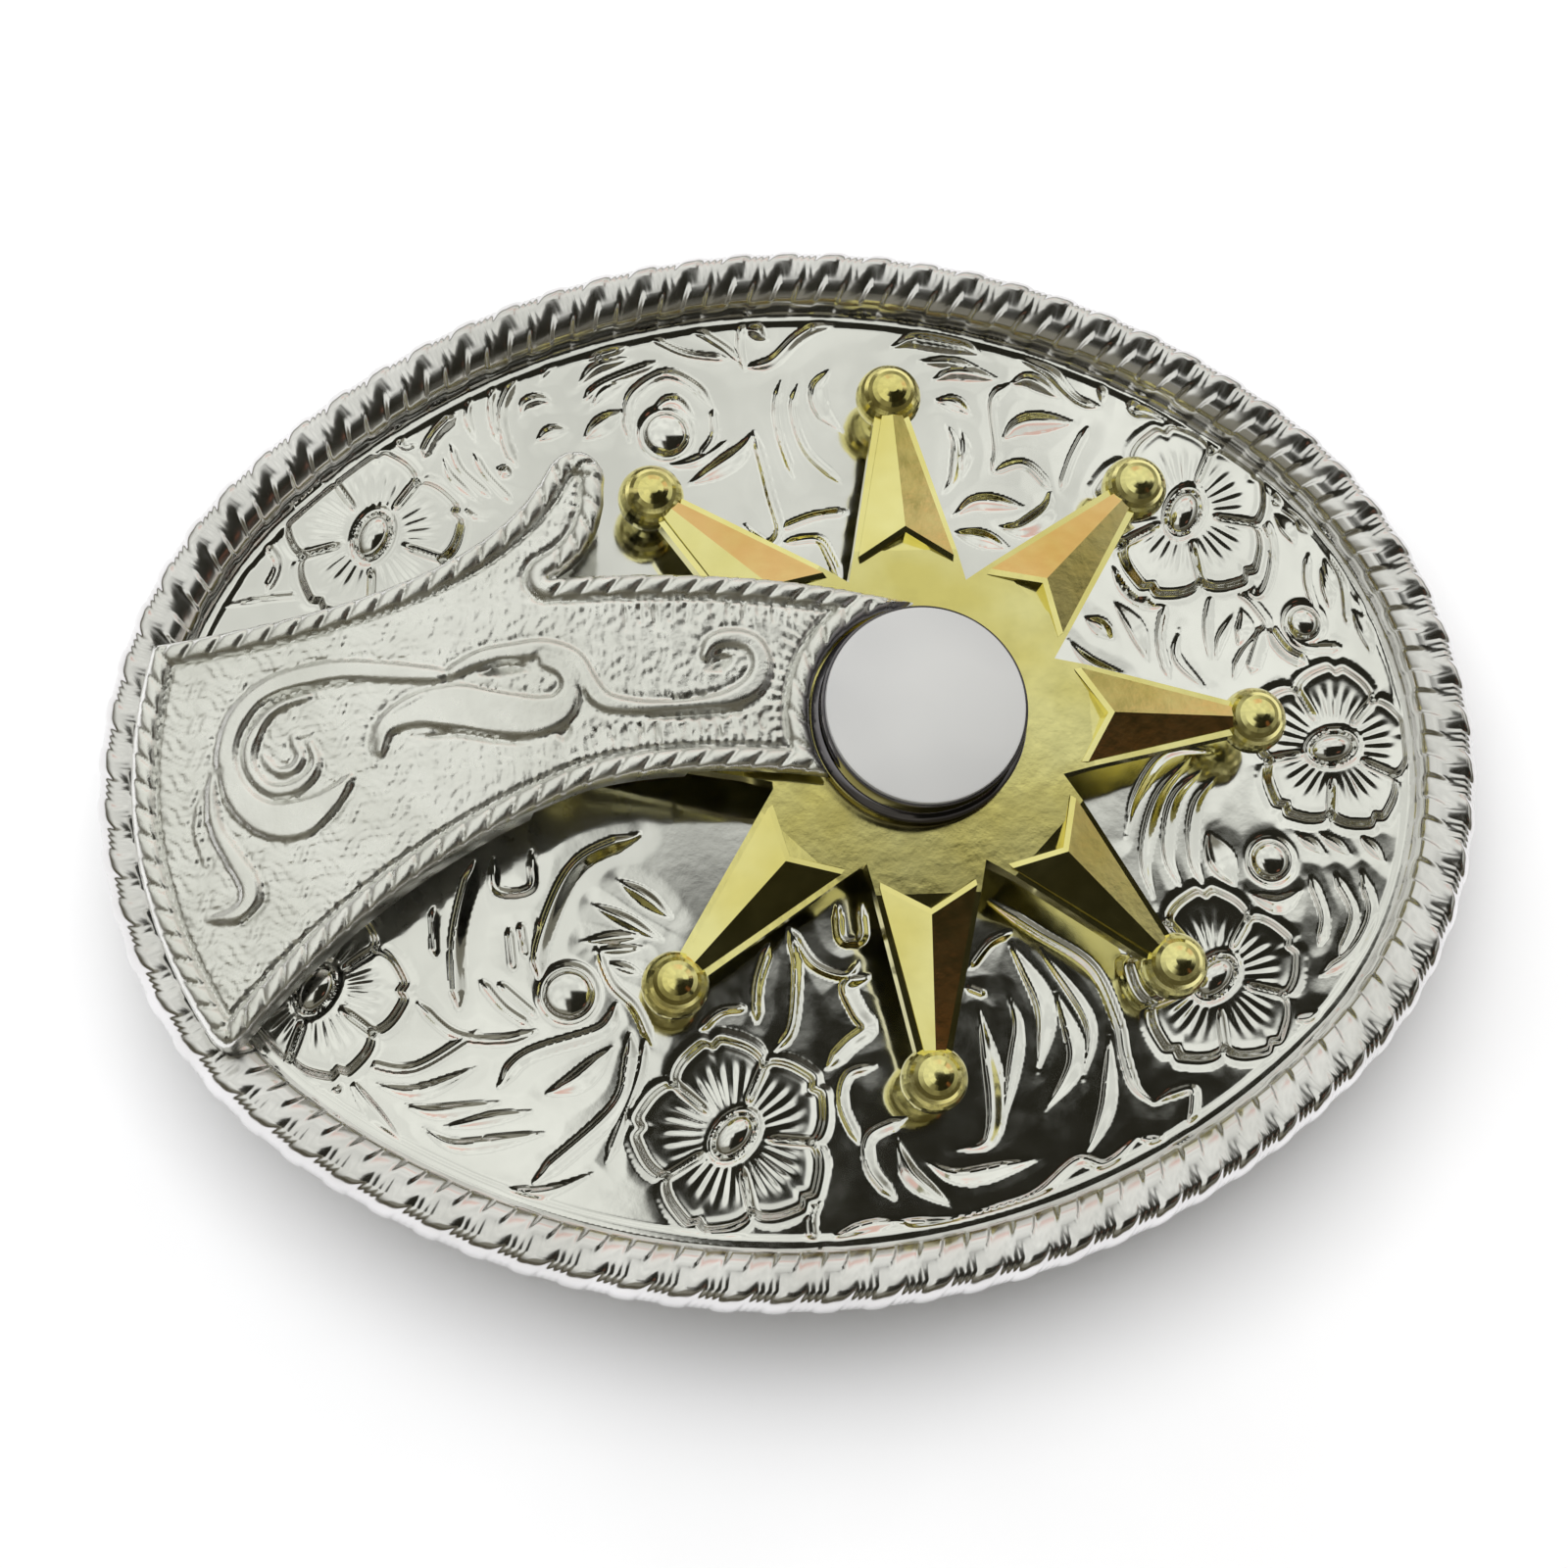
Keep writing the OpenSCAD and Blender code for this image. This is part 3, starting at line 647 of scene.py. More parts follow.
def feed(tree, socket, value):
    """Give a socket a fixed value, or link it to another node's output."""
    if isinstance(value, bpy.types.NodeSocket):
        tree.links.new(value, socket)
    else:
        socket.default_value = value


def add_node(tree, kind, **inputs):
    """A shader node with its inputs fed; an underscore in a name stands for a space."""
    node = tree.nodes.new("ShaderNode" + kind)
    for name, value in inputs.items():
        feed(tree, node.inputs[name.replace("_", " ")], value)
    return node


def noise(tree, scale, detail=3.0, space="Object"):
    """Noise; in object space its scale is in features per metre."""
    where = add_node(tree, "TexCoord").outputs[space]
    return add_node(tree, "TexNoise", Vector=where, Scale=scale, Detail=detail).outputs["Fac"]


def spread(tree, value, low, high):
    """A noise value mapped to a range."""
    node = add_node(tree, "MapRange", Value=value, From_Min=0.3, From_Max=0.7, To_Min=low, To_Max=high)
    return node.outputs["Result"]


def tint(tree, value, low, high):
    """A noise value turned into a colour between two colours."""
    node = add_node(tree, "ValToRGB", Fac=value)
    for element, position, colour in zip(node.color_ramp.elements, (0.35, 0.65), (low, high)):
        element.position = position
        element.color = (*colour, 1)
    return node.outputs["Color"]


def surface(name, metallic, cloud, dark, light, pores, smooth, rough, grain, depth):
    """Colour drifts between two tones and roughness between two values, over a fine grain.
    cloud, pores and grain are the noises of the three; depth is the grain's, in millimetres."""
    material, tree, shader = new_material(name)
    shader.inputs["Metallic"].default_value = metallic
    feed(tree, shader.inputs["Base Color"], tint(tree, noise(tree, *cloud), dark, light))
    feed(tree, shader.inputs["Roughness"], spread(tree, noise(tree, *pores), smooth, rough))
    bump = add_node(tree, "Bump", Strength=1.0, Distance=depth * MM, Height=noise(tree, *grain))
    feed(tree, shader.inputs["Normal"], bump.outputs["Normal"])
    return material


def metal(name, dark, light, smooth, rough, grain=900, depth=0.004):
    """Plated or bare metal."""
    return surface(name, 1.0, (140,), dark, light, (700,), smooth, rough, (grain, 4), depth)


def matt_back(material, rough):
    """A duller, grainy finish on the faces that look down."""
    tree = material.node_tree
    roughness = tree.nodes["Principled BSDF"].inputs["Roughness"]
    polished = roughness.links[0].from_socket
    normal = add_node(tree, "TexCoord").outputs["Normal"]
    rise = add_node(tree, "SeparateXYZ", Vector=normal).outputs["Z"]
    down = add_node(tree, "MapRange", Value=rise, From_Min=-0.6, From_Max=-0.9).outputs["Result"]
    dull = spread(tree, noise(tree, 1600, 4), rough - 0.08, rough + 0.08)
    mix = add_node(tree, "Mix", Factor=down, A=polished, B=dull)
    feed(tree, roughness, mix.outputs["Result"])


ENGRAVED_SILVER = metal("engraved_silver", (0.79, 0.79, 0.77), (0.88, 0.88, 0.86), 0.06, 0.12)
ROPE_SILVER = metal("rope_silver", (0.76, 0.75, 0.75), (0.86, 0.85, 0.86), 0.15, 0.24)
SHANK_SILVER = metal("shank_silver", (0.84, 0.84, 0.81), (0.93, 0.93, 0.91), 0.24, 0.36, 2600, 0.03)
ROWEL_GOLD = metal("rowel_gold", (0.80, 0.71, 0.24), (0.90, 0.84, 0.38), 0.10, 0.18, 1100, 0.008)
DARK_CHROME = metal("dark_chrome", (0.16, 0.15, 0.17), (0.26, 0.25, 0.27), 0.06, 0.12)
WIRE_CHROME = metal("wire_chrome", (0.70, 0.70, 0.71), (0.80, 0.80, 0.81), 0.10, 0.2, 800, 0.006)
BACK_METAL = metal("back_metal", (0.52, 0.51, 0.49), (0.66, 0.65, 0.63), 0.28, 0.42, 1500, 0.02)
BUSHING_BRASS = metal("bushing_brass", (0.62, 0.45, 0.18), (0.76, 0.58, 0.27), 0.18, 0.3)
RIVET_STEEL = metal("rivet_steel", (0.46, 0.45, 0.44), (0.58, 0.57, 0.56), 0.22, 0.36)

matt_back(ENGRAVED_SILVER, 0.4)

PALE_DISC = surface(
    "pale_disc", 0.0, (110, 1), (0.45, 0.45, 0.455), (0.51, 0.51, 0.51), (900,), 0.38, 0.5, (3000,), 0.002
)
WASHER_NYLON = surface(
    "washer_nylon", 0.0, (500,), (0.72, 0.70, 0.62), (0.82, 0.80, 0.74), (1500,), 0.4, 0.55, (2500,), 0.006
)

# ---- plate

PLATE_GRID = 0.13
oval, _ = oval_points(PLATE_INSET, 360)
plate_shape = sheet_mesh(oval[:, :2], PLATE_GRID, plate_top, plate_back)
make_piece("engraved_plate", "buckle", "face_plate", ENGRAVED_SILVER, plate_shape)

# ---- rope edge

# Each strand is a smooth part and then thin wires; a full of 1 is a round section, 0 a square one
WIRE_SHARE = 0.42
WIRES = 3
WIRE_HIGH = 0.09
VALLEY = 0.24
STRAND_RADIUS = 2.4
CREST = 0.3
OUTER_FULL = 0.8
INNER_FULL = 0.5
HOLLOW = 0.24
HOLLOW_REACH = 0.8
SOLDER_SHARE = 0.45
ROPE_LENGTH = oval_points(ROPE_HALF_WIDTH, 4)[1]


def rope_mesh(per_strand=36, across=28):
    """A half-round rope of leaning smooth strands, each followed by three thin wires, on a flat base."""
    count = ROPE_STRANDS * per_strand
    ring, _ = oval_points(ROPE_HALF_WIDTH + 0.02, count)
    step = ROPE_LENGTH / ROPE_STRANDS
    strand = np.arange(count)[:, None] / per_strand
    turn = np.linspace(0, math.pi, across)
    flat = np.where(turn < math.pi / 2, OUTER_FULL, INNER_FULL)
    reach = np.where(turn < math.pi / 2, 1 - CREST, 1 + CREST)
    side = np.sign(np.cos(turn)) * np.abs(np.cos(turn)) ** flat
    out = ROPE_HALF_WIDTH * (CREST + reach * side)[None, :]
    rise = (np.abs(np.sin(turn)) ** flat)[None, :]
    phase = (strand + (out + 0.1 * out**2) * STRAND_LEAN / step) % 1
    wire_phase = (phase - (1 - WIRE_SHARE)) / WIRE_SHARE
    across_strand = 2 * phase / (1 - WIRE_SHARE) - 1
    wire = np.abs(np.sin(np.pi * wire_phase * WIRES)) ** 0.8 * ease(out, 0.1, 0.9)
    thin = VALLEY - WIRE_HIGH * wire
    thick = VALLEY * np.abs(across_strand) ** 3.5
    sunk = np.where(wire_phase > 0, thin, thick)
    sunk *= SOLDER_SHARE + (1 - SOLDER_SHARE) * ease(out, -2.0, -1.6)
    swell = 1 - sunk / STRAND_RADIUS
    inner_width = (1 + CREST) * ROPE_HALF_WIDTH * HOLLOW_REACH
    inward = np.clip((CREST * ROPE_HALF_WIDTH - out) / inner_width, 0, 1)
    smooth_part = np.where(wire_phase > 0, 0, 1 - np.abs(across_strand) ** 8)
    hollow = HOLLOW * inward * smooth_part
    high = ROPE_HIGH * rise * swell * (1 - hollow)
    x = ring[:, 0, None] + ring[:, 2, None] * out * swell
    y = ring[:, 1, None] + ring[:, 3, None] * out * swell
    z = field_top(x) + high
    vertices = np.stack([x, y, z], -1).reshape(-1, 3)
    faces = []
    for i in range(count):
        here, there = i * across, (i + 1) % count * across
        for k in range(across - 1):
            faces.append([here + k, there + k, there + k + 1, here + k + 1])
        faces.append([here + across - 1, there + across - 1, there, here])
    return vertices, faces


make_piece("rope_edge", "buckle", "rope_border", ROPE_SILVER, rope_mesh(), sharp=80)

# ---- spur shank

CUP_EDGE = CUP_RADIUS + 0.03
SHANK_OUTLINE = np.vstack(
    [
        bend((-43.9, 10.9), (-49.0, -2.5), (-41.6, -16.2)),
        bend((-41.6, -16.2), (-40.6, -17.8), (-39.3, -16.5), 5),
        bend((-39.3, -16.5), (-29.0, -6.2), (-15.8, -2.2)),
        bend((-15.8, -2.2), (-9.5, -0.9), (0.5, -2.7), 8),
        arc(AXLE, CUP_EDGE, 210.7, 95, 24),
        bend(AXLE + (0.6, CUP_EDGE + 0.35), (-3.5, 12.2), (-17.2, 12.4)),
        bend((-17.2, 12.4), (-13.6, 13.6), (-12.9, 18.4), 8),
        arc((-14.9, 19.2), 2, -20, 140),
        bend((-16.8, 20.0), (-21.8, 11.4), (-43.9, 10.9)),
    ]
)

# Raised bands of the shank's scroll: (x, y, width) points
SHANK_BANDS = [
    # the big C and its thick lower crescent
    [
        (-25, 6.3, 1.2), (-28.2, 6.9, 1.5), (-31, 7.35, 1.6), (-33.5, 7.3, 1.7), (-36.2, 6.8, 1.6),
        (-38.3, 5.3, 1.6), (-39.3, 3.2, 1.6), (-39.3, 1.1, 1.8), (-38.4, -0.9, 2.2), (-36.8, -2.2, 2.6),
        (-35, -2.4, 2.8), (-33.3, -1.8, 2.2), (-32, -0.8, 1.4), (-31.3, 0.1, 0.6),
    ],
    # the volute inside it
    [
        (-33.8, 5.9, 0.5), (-35.7, 5.4, 0.9), (-37, 4.3, 1.1), (-37.9, 2.8, 1.2), (-37.8, 1.1, 1.1),
        (-36.7, -0.2, 1.1), (-35.2, -0.3, 1.1), (-34, 0.4, 1.0), (-33.5, 1.4, 0.8), (-33.8, 2.6, 0.6),
    ],
    [
        (-37, 2.2, 0.5), (-36.2, 1.1, 0.7), (-35.1, 1.0, 0.8), (-34.5, 1.9, 0.7), (-34.9, 3.2, 0.5),
        (-33.8, 3.3, 0.4),
    ],
    # ribbon from the lower tail, round the right end of the loop
    [
        (-29.3, 1.6, 0.9), (-28.7, 3.2, 1.5), (-26.8, 4.1, 2.4), (-24.3, 4.1, 3.2), (-21.5, 3.4, 3.3),
        (-19, 2.9, 2.9), (-17.2, 3.3, 2.3), (-16.4, 4.6, 1.5), (-16.8, 5.9, 1.2), (-18, 6.6, 1.0),
    ],
    # loop over the slit eye, then the right tail and its curl
    [
        (-24.2, 6.4, 1.0), (-22.2, 7.2, 1.3), (-20, 7.4, 1.4), (-17.9, 7.4, 1.5), (-16.1, 6.5, 1.6),
        (-15.2, 4.8, 1.5), (-14.2, 3.5, 1.4), (-12.2, 2.95, 1.1), (-10, 2.8, 0.9), (-7.9, 2.8, 1.0),
        (-5.9, 3.0, 1.3), (-4.2, 3.8, 1.6), (-3.5, 5.2, 1.5), (-3.9, 6.6, 1.4), (-5.2, 7.2, 1.3),
        (-6.6, 7.0, 1.2), (-7.3, 6.1, 0.8),
    ],
    # hooked tail at the lower left
    [
        (-40.3, 1.5, 0.6), (-40.6, -0.6, 1.0), (-40.3, -2.6, 1.1), (-39.3, -4.6, 1.4), (-38.4, -6.4, 1.6),
        (-38.6, -7.7, 1.4), (-39.7, -8.4, 1.1), (-41.2, -8.4, 0.5),
    ],
    [(-41.3, -0.4, 0.4), (-41.7, -2.4, 0.5), (-41.1, -4.8, 0.4)],
    [(-29.7, 0.7, 0.4), (-29.7, 2.4, 0.5), (-28.9, 3.9, 0.5), (-26.4, 5.1, 0.5)],
]
# Dark cuts on the scroll: width, then points
SHANK_CUTS = [
    (0.85, (-22.9, 6.2), (-21.4, 6.35), (-20.1, 6.4), (-18.6, 6.1)),
    (0.5, (-27.4, 5.95), (-29.3, 6.35), (-31.3, 6.55), (-33.5, 6.4), (-35.7, 6.1), (-37.3, 5.3),
     (-38.6, 2.9)),
    (0.45, (-35.2, 5.4), (-36.2, 4.6), (-37.3, 3.1)),
    (0.35, (-23.8, 6.0), (-22.6, 5.4), (-20.8, 4.8), (-18.6, 4.2)),
    (0.5, (-31.1, 0.2), (-31.9, -1.7), (-33.2, -3.0), (-34.6, -3.8)),
    (0.5, (-28.5, 1.9), (-27.4, 2.4), (-25.8, 2.25), (-23.9, 2.2), (-21.7, 1.6), (-19.7, 1.2),
     (-17.6, 1.6)),
    (0.7, (-17.6, 1.9), (-17.1, 1.4), (-16.4, 2.2)),
    (0.5, (-37.2, -6.4), (-37.5, -7.7), (-39, -9.0), (-40.6, -9.1)),
    (0.9, (-7.4, 5.1), (-6.4, 5.5), (-5.2, 5.9)),
    (0.6, (-12.6, 2.2), (-10.1, 2.1), (-7.9, 2.0), (-5.8, 2.0), (-4.2, 2.4), (-3.1, 3.4)),
    (0.3, (-12.1, 3.55), (-10.1, 3.3), (-7.9, 3.35), (-6.1, 3.8), (-4.8, 4.6)),
]
BAND_HIGH = 0.32
FRINGE_TICKS = 12
FRINGE_FROM = -14.9
STIPPLE = 0.048
GROUND_DROP = 0.2
EDGING_HIGH = 0.4
COMB_PITCH = 0.55
COMB_HIGH = 0.05
EDGE_ROUND = 0.45
FEET = ((-38.5, 7.6), (-40.5, -6.0))
FOOT_RADIUS = 2.6
FOOT_GAP = 0.02
ROPE_CLEAR = 0.85
SWEEP_GAP = 0.4
HUB_SWEEP = 16.3
SHANK_GRID = 0.16


def stipple(points):
    """A dense, uneven pecking of the ground."""
    x, y = points.T
    upright = np.sin(9.2 * x + 2.8 * np.sin(1.7 * y)) * np.sin(3.1 * y + 2.6 * np.sin(2.9 * x + 0.7))
    lying = np.sin(8.3 * y + 2.8 * np.sin(1.9 * x)) * np.sin(3.7 * x + 2.4 * np.sin(2.6 * y))
    fine = np.sin(12.3 * x - 4.1 * y + 2 * np.sin(3.7 * y)) * np.sin(8.9 * y + 2.6 * np.sin(5.3 * x))
    lay = ease(x, -34, -18)
    return lay * upright + (1 - lay) * 1.7 * lying + 0.5 * fine


def shank_top(points, gap, along):
    """The scroll on its pecked ground, inside a beaded edging with a rounded rim."""
    relief = Relief(points)
    for band in SHANK_BANDS:
        relief.ribbon(BAND_HIGH, *band)
    for width, *path in SHANK_CUTS:
        relief.groove(width, *path, lens=True, slope=0.9)
    for i in range(FRINGE_TICKS):
        x = FRINGE_FROM + i
        relief.groove(0.4, (x, 1.9), (x + 0.15, 0.2 + 0.5 * (i % 2)))
        relief.groove(0.35, (x + 2.6, 9.9), (x + 2.5, 8.0 + 0.6 * (i % 2)))
    ground = relief.rise < 0.05
    height = relief.rise - relief.cut + STIPPLE * stipple(points) * ground

    bead = np.abs(2 * ((along / BEAD_PITCH - gap * 0.45) % 1) - 1)
    ridge = np.sin(np.pi * np.clip(gap / EDGING_WIDTH, 0, 1)) ** 0.5
    edging = EDGING_HIGH * ridge * (0.2 + 0.8 * (1 - bead**4))
    inner_cut = 0.25 * bell(gap - EDGING_WIDTH, 0.15, 0.16)
    comb = np.cos(2 * np.pi * along / COMB_PITCH) * ease(gap, 1.8, 2.0) * (1 - ease(gap, 2.6, 3.4))
    comb *= ease(points[:, 0], -19, -15)
    height = np.where(gap < EDGING_WIDTH, edging, height * ease(gap, 1.6, 1.9))
    height -= inner_cut + COMB_HIGH * comb
    over_rim = np.clip(EDGE_ROUND - gap, 0, EDGE_ROUND)
    rim_drop = EDGE_ROUND - np.sqrt(EDGE_ROUND**2 - over_rim**2)
    return shank_arch(points[:, 0]) - BAND_HIGH - GROUND_DROP + height - rim_drop


def shank_low(points):
    """Underside: clear of the rope and of the turning rowel, down to the plate at the two feet."""
    from_axle = np.hypot(*(points - AXLE).T)
    low = np.maximum(shank_arch(points[:, 0]) - SHANK_DEPTH, FIELD_Z + ROPE_CLEAR)
    sweeps = [
        (BALL_CIRCLE + BALL_RADIUS + SWEEP_GAP, BALL_Z + BALL_RADIUS + SWEEP_GAP),
        (HUB_SWEEP, rowel_high[2] + SWEEP_GAP),
    ]
    for reach, floor_height in sweeps:
        low = np.where(from_axle < reach, np.maximum(low, floor_height), low)
    for foot in FEET:
        near = np.hypot(*(points - foot).T) < FOOT_RADIUS
        low = np.where(near, field_top(points[:, 0]) + FOOT_GAP, low)
    return low


shank_shape = sheet_mesh(SHANK_OUTLINE, SHANK_GRID, shank_top, shank_low, block=1)
make_piece("shank", "buckle", "spur_shank", SHANK_SILVER, shank_shape, sharp=60)

# ---- rowel

STEP_ANGLE = 2 * math.pi / POINT_COUNT
SECTOR_SLOPE = math.tan(STEP_ANGLE / 2)
BORE_RADIUS = 2.6
NOTCH_X = 9.8
HUB_FLAT = 12.0
TIP_X = BALL_CIRCLE - 1.0
TIP_HALF = 1.05
TIP_RISE = 0.95
TIP_DROP = 0.12
STAR_THICK = 1.5
HUB_EXTRA = 0.6
HUB_EXTRA_TO = 10.0
STAR_LOWEST = rowel_low[2] + 0.3

ROOF_FOOT = 11.0
ROOF_APEX = 13.0
ROOF_SIDE = 3.3
ROOF_SLOPE = math.radians(15)
ROOF_SINK = 0.05
BORDER_BAND = 0.5
EAVE = 0.22
LIP_SHIFT = 0.12
LIP_NARROWING = 0.985
LIP_DROP = 0.2
CHAMFER = 0.55
SHARP_EDGE = 7


def star_top(x):
    """Top of the star plate along a point: flat on the hub, then down to the ball."""
    return np.interp(x, [HUB_FLAT, TIP_X], [HUB_TOP, BALL_Z + TIP_RISE])


def star_low(x):
    """Underside of the star plate, which is thicker under the hub."""
    thick = STAR_THICK + (HUB_EXTRA if x < HUB_EXTRA_TO else 0)
    return max(star_top(x) - thick, STAR_LOWEST)


def star_half(x):
    """Half the width of a point."""
    return np.interp(x, [NOTCH_X, TIP_X], [NOTCH_X * SECTOR_SLOPE, TIP_HALF])


def star_sector():
    """The star plate's share of one point, from the bore to the outer end."""
    bend_half = star_half(HUB_FLAT)
    right = [
        (BORE_RADIUS, -BORE_RADIUS * SECTOR_SLOPE), (NOTCH_X, -NOTCH_X * SECTOR_SLOPE),
        (HUB_FLAT, -bend_half), (TIP_X, -TIP_HALF),
    ]
    plan = right + [(x, -y) for x, y in reversed(right)]
    top = [(x, y, star_top(x) - TIP_DROP * (x == TIP_X)) for x, y in plan]
    low = [(x, y, star_low(x)) for x, y in plan]
    n = len(plan)
    top_faces = [[0, 1, 6, 7], [1, 2, 5, 6], [2, 3, 4, 5]]
    low_faces = [[i + n for i in reversed(face)] for face in top_faces]
    walls = [[i + 1, i, i + n, i + 1 + n] for i in range(1, 6)] + [[0, 7, 7 + n, n]]
    return top + low, top_faces + low_faces + walls


def point_roof():
    """A low wall facing the hub, a chamfer along it, and two facets that meet at the ridge."""
    tip_half = TIP_HALF - BORDER_BAND
    narrowing = (ROOF_SIDE - tip_half) / (TIP_X - ROOF_FOOT)

    def facet_top(x, y):
        side = ROOF_SIDE - narrowing * (x - ROOF_FOOT)
        return star_top(x) + EAVE + math.tan(ROOF_SLOPE) * (side - abs(y))

    foot = [
        (ROOF_FOOT, -ROOF_SIDE), (TIP_X, -tip_half), (TIP_X, tip_half), (ROOF_FOOT, ROOF_SIDE),
        (ROOF_APEX, 0),
    ]
    hub_side = [x != TIP_X for x, _ in foot]
    lip = [(x + LIP_SHIFT * inner, y * LIP_NARROWING) for (x, y), inner in zip(foot, hub_side)]
    crest = [(x + CHAMFER * inner, y) for (x, y), inner in zip(foot, hub_side)]
    points = [(x, y, star_top(x) - ROOF_SINK) for x, y in foot]
    points += [(x, y, facet_top(x, y) - LIP_DROP * inner) for (x, y), inner in zip(lip, hub_side)]
    points += [(x, y, facet_top(x, y)) for x, y in crest + [(TIP_X, 0)]]
    wall = [[0, 1, 6, 5], [2, 3, 8, 7], [3, 4, 9, 8], [4, 0, 5, 9]]
    chamfer = [[5, 6, 11, 10], [7, 8, 13, 12], [8, 9, 14, 13], [9, 5, 10, 14]]
    facets = [[10, 11, 15, 14], [14, 15, 12, 13]]
    ends = [[1, 2, 7, 12, 15, 11, 6], [4, 3, 2, 1, 0]]
    return points, wall + chamfer + facets + ends


def ball_tip(rings=20, sides=40):
    """The ball at the outer end of a point."""
    points = [(BALL_CIRCLE, 0, BALL_Z - BALL_RADIUS), (BALL_CIRCLE, 0, BALL_Z + BALL_RADIUS)]
    for i in range(1, rings):
        tilt = math.pi * i / rings
        r = BALL_RADIUS * math.sin(tilt)
        z = BALL_Z - BALL_RADIUS * math.cos(tilt)
        for j in range(sides):
            a = 2 * math.pi * j / sides
            points.append((BALL_CIRCLE + r * math.cos(a), r * math.sin(a), z))
    faces = []
    last = 2 + (rings - 2) * sides
    for j in range(sides):
        n = (j + 1) % sides
        faces.append([0, 2 + n, 2 + j])
        faces.append([1, last + j, last + n])
        for here in range(2, last, sides):
            faces.append([here + j, here + n, here + sides + n, here + sides + j])
    return points, faces


def rowel_mesh():
    """The flat star with its hole, and a bevelled roof and a ball on each point."""
    vertices, faces = [], []
    for k in range(POINT_COUNT):
        c, s = math.cos(POINT_TURN + k * STEP_ANGLE), math.sin(POINT_TURN + k * STEP_ANGLE)
        for points, polygons in (star_sector(), point_roof(), ball_tip()):
            base = len(vertices)
            vertices += [(AXLE[0] + x * c - y * s, AXLE[1] + x * s + y * c, z) for x, y, z in points]
            faces += [[base + i for i in polygon] for polygon in polygons]
    return vertices, faces


rowel_shape = weld(*rowel_mesh())
rowel_piece = make_piece(
    "rowel_star", "rowel_wheel", "rowel", ROWEL_GOLD, rowel_shape, sharp=SHARP_EDGE
)
edge_round = rowel_piece.modifiers.new("edge_round", "BEVEL")
edge_round.width = 0.12 * MM
edge_round.segments = 2
edge_round.harden_normals = True
edge_round.limit_method = "ANGLE"
edge_round.angle_limit = math.radians(SHARP_EDGE)

# ---- medallion

FOOT_R = CUP_RADIUS - 0.12
WALL_R = DISC_RADIUS + 0.02
DISC_R = DISC_RADIUS - 0.22
AXLE_HOLE = 1.6
SEAT_WIDTH = 0.9
SEAT_DEPTH = 0.8
MEDALLION_SIDES = 128


def cup_profile(low, high):
    """A foot flange, a waist, the wall with its rounded rim, and the seat that the disc drops into."""
    return [
        (AXLE_HOLE, low), (FOOT_R - 0.5, low), (FOOT_R - 0.1, low + 0.15), (FOOT_R, low + 0.35),
        (FOOT_R, low + 0.7), (FOOT_R - 0.15, low + 0.85), (WALL_R - 0.15, low + 1.0),
        (WALL_R - 0.15, low + 1.6), (WALL_R, low + 1.75), (WALL_R, high - 0.25),
        (WALL_R - 0.05, high - 0.06), (WALL_R - 0.14, high), (DISC_R + 0.04, high - 0.02),
        (DISC_R + 0.02, high - SEAT_DEPTH), (DISC_R - SEAT_WIDTH, high - SEAT_DEPTH),
        (DISC_R - SEAT_WIDTH, low + 1.1), (AXLE_HOLE, low + 1.1),
    ]


def disc_profile(low, high):
    """A flat disc with a rounded edge."""
    return [
        (0.01, low), (DISC_R, low), (DISC_R, high - 0.22), (DISC_R - 0.05, high - 0.08),
        (DISC_R - 0.2, high), (0.01, high),
    ]


cup_shape = lathe_mesh(AXLE, cup_profile(cup_low[2], cup_high[2]), MEDALLION_SIDES)
make_piece("cup", "buckle", "medallion_cup", DARK_CHROME, cup_shape, sharp=40)

disc_shape = lathe_mesh(AXLE, disc_profile(disc_low[2], disc_high[2]), MEDALLION_SIDES)
make_piece("blank_disc", "buckle", "medallion_disc", PALE_DISC, disc_shape, sharp=40)

# ---- carried-over CAD nodes

CAD_FINISH = {
    "shank_rivets": RIVET_STEEL,
    "rowel_bushing": BUSHING_BRASS,
    "lower_washer": WASHER_NYLON,
    "upper_washer": WASHER_NYLON,
    "rowel_axle": RIVET_STEEL,
    "axle_backing_washer": RIVET_STEEL,
    "hinge_lug_upper": BACK_METAL,
    "hinge_lug_lower": BACK_METAL,
    "belt_bail": WIRE_CHROME,
    "belt_hook": WIRE_CHROME,
}
for node, material in CAD_FINISH.items():
    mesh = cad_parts[node].data
    mesh.materials.clear()
    mesh.materials.append(material)
    mesh.shade_smooth()
    mesh.set_sharp_from_angle(angle=math.radians(35))

# ---- floor and studio, in metres


def floor_material():
    """Pale matt paper, seen only from above."""
    material, tree, shader = new_material("pale_floor")
    colour = tint(tree, noise(tree, 30), (0.88, 0.88, 0.91), (0.91, 0.91, 0.94))
    feed(tree, shader.inputs["Base Color"], colour)
    shader.inputs["Roughness"].default_value = 0.9
    mix = add_node(tree, "MixShader", Fac=add_node(tree, "NewGeometry").outputs["Backfacing"])
    feed(tree, mix.inputs[1], shader.outputs["BSDF"])
    feed(tree, mix.inputs[2], add_node(tree, "BsdfTransparent").outputs["BSDF"])
    feed(tree, tree.nodes["Material Output"].inputs["Surface"], mix.outputs["Shader"])
    return material


FLOOR_REACH = 1.5
floor_corners = [(FLOOR_REACH * x, FLOOR_REACH * y, 0) for x, y in ((-1, -1), (1, -1), (1, 1), (-1, 1))]
floor_mesh = bpy.data.meshes.new("floor")
floor_mesh.from_pydata(floor_corners, [], [[0, 1, 2, 3]])
floor_mesh.materials.append(floor_material())
floor = bpy.data.objects.new("floor", floor_mesh)
bpy.context.scene.collection.objects.link(floor)


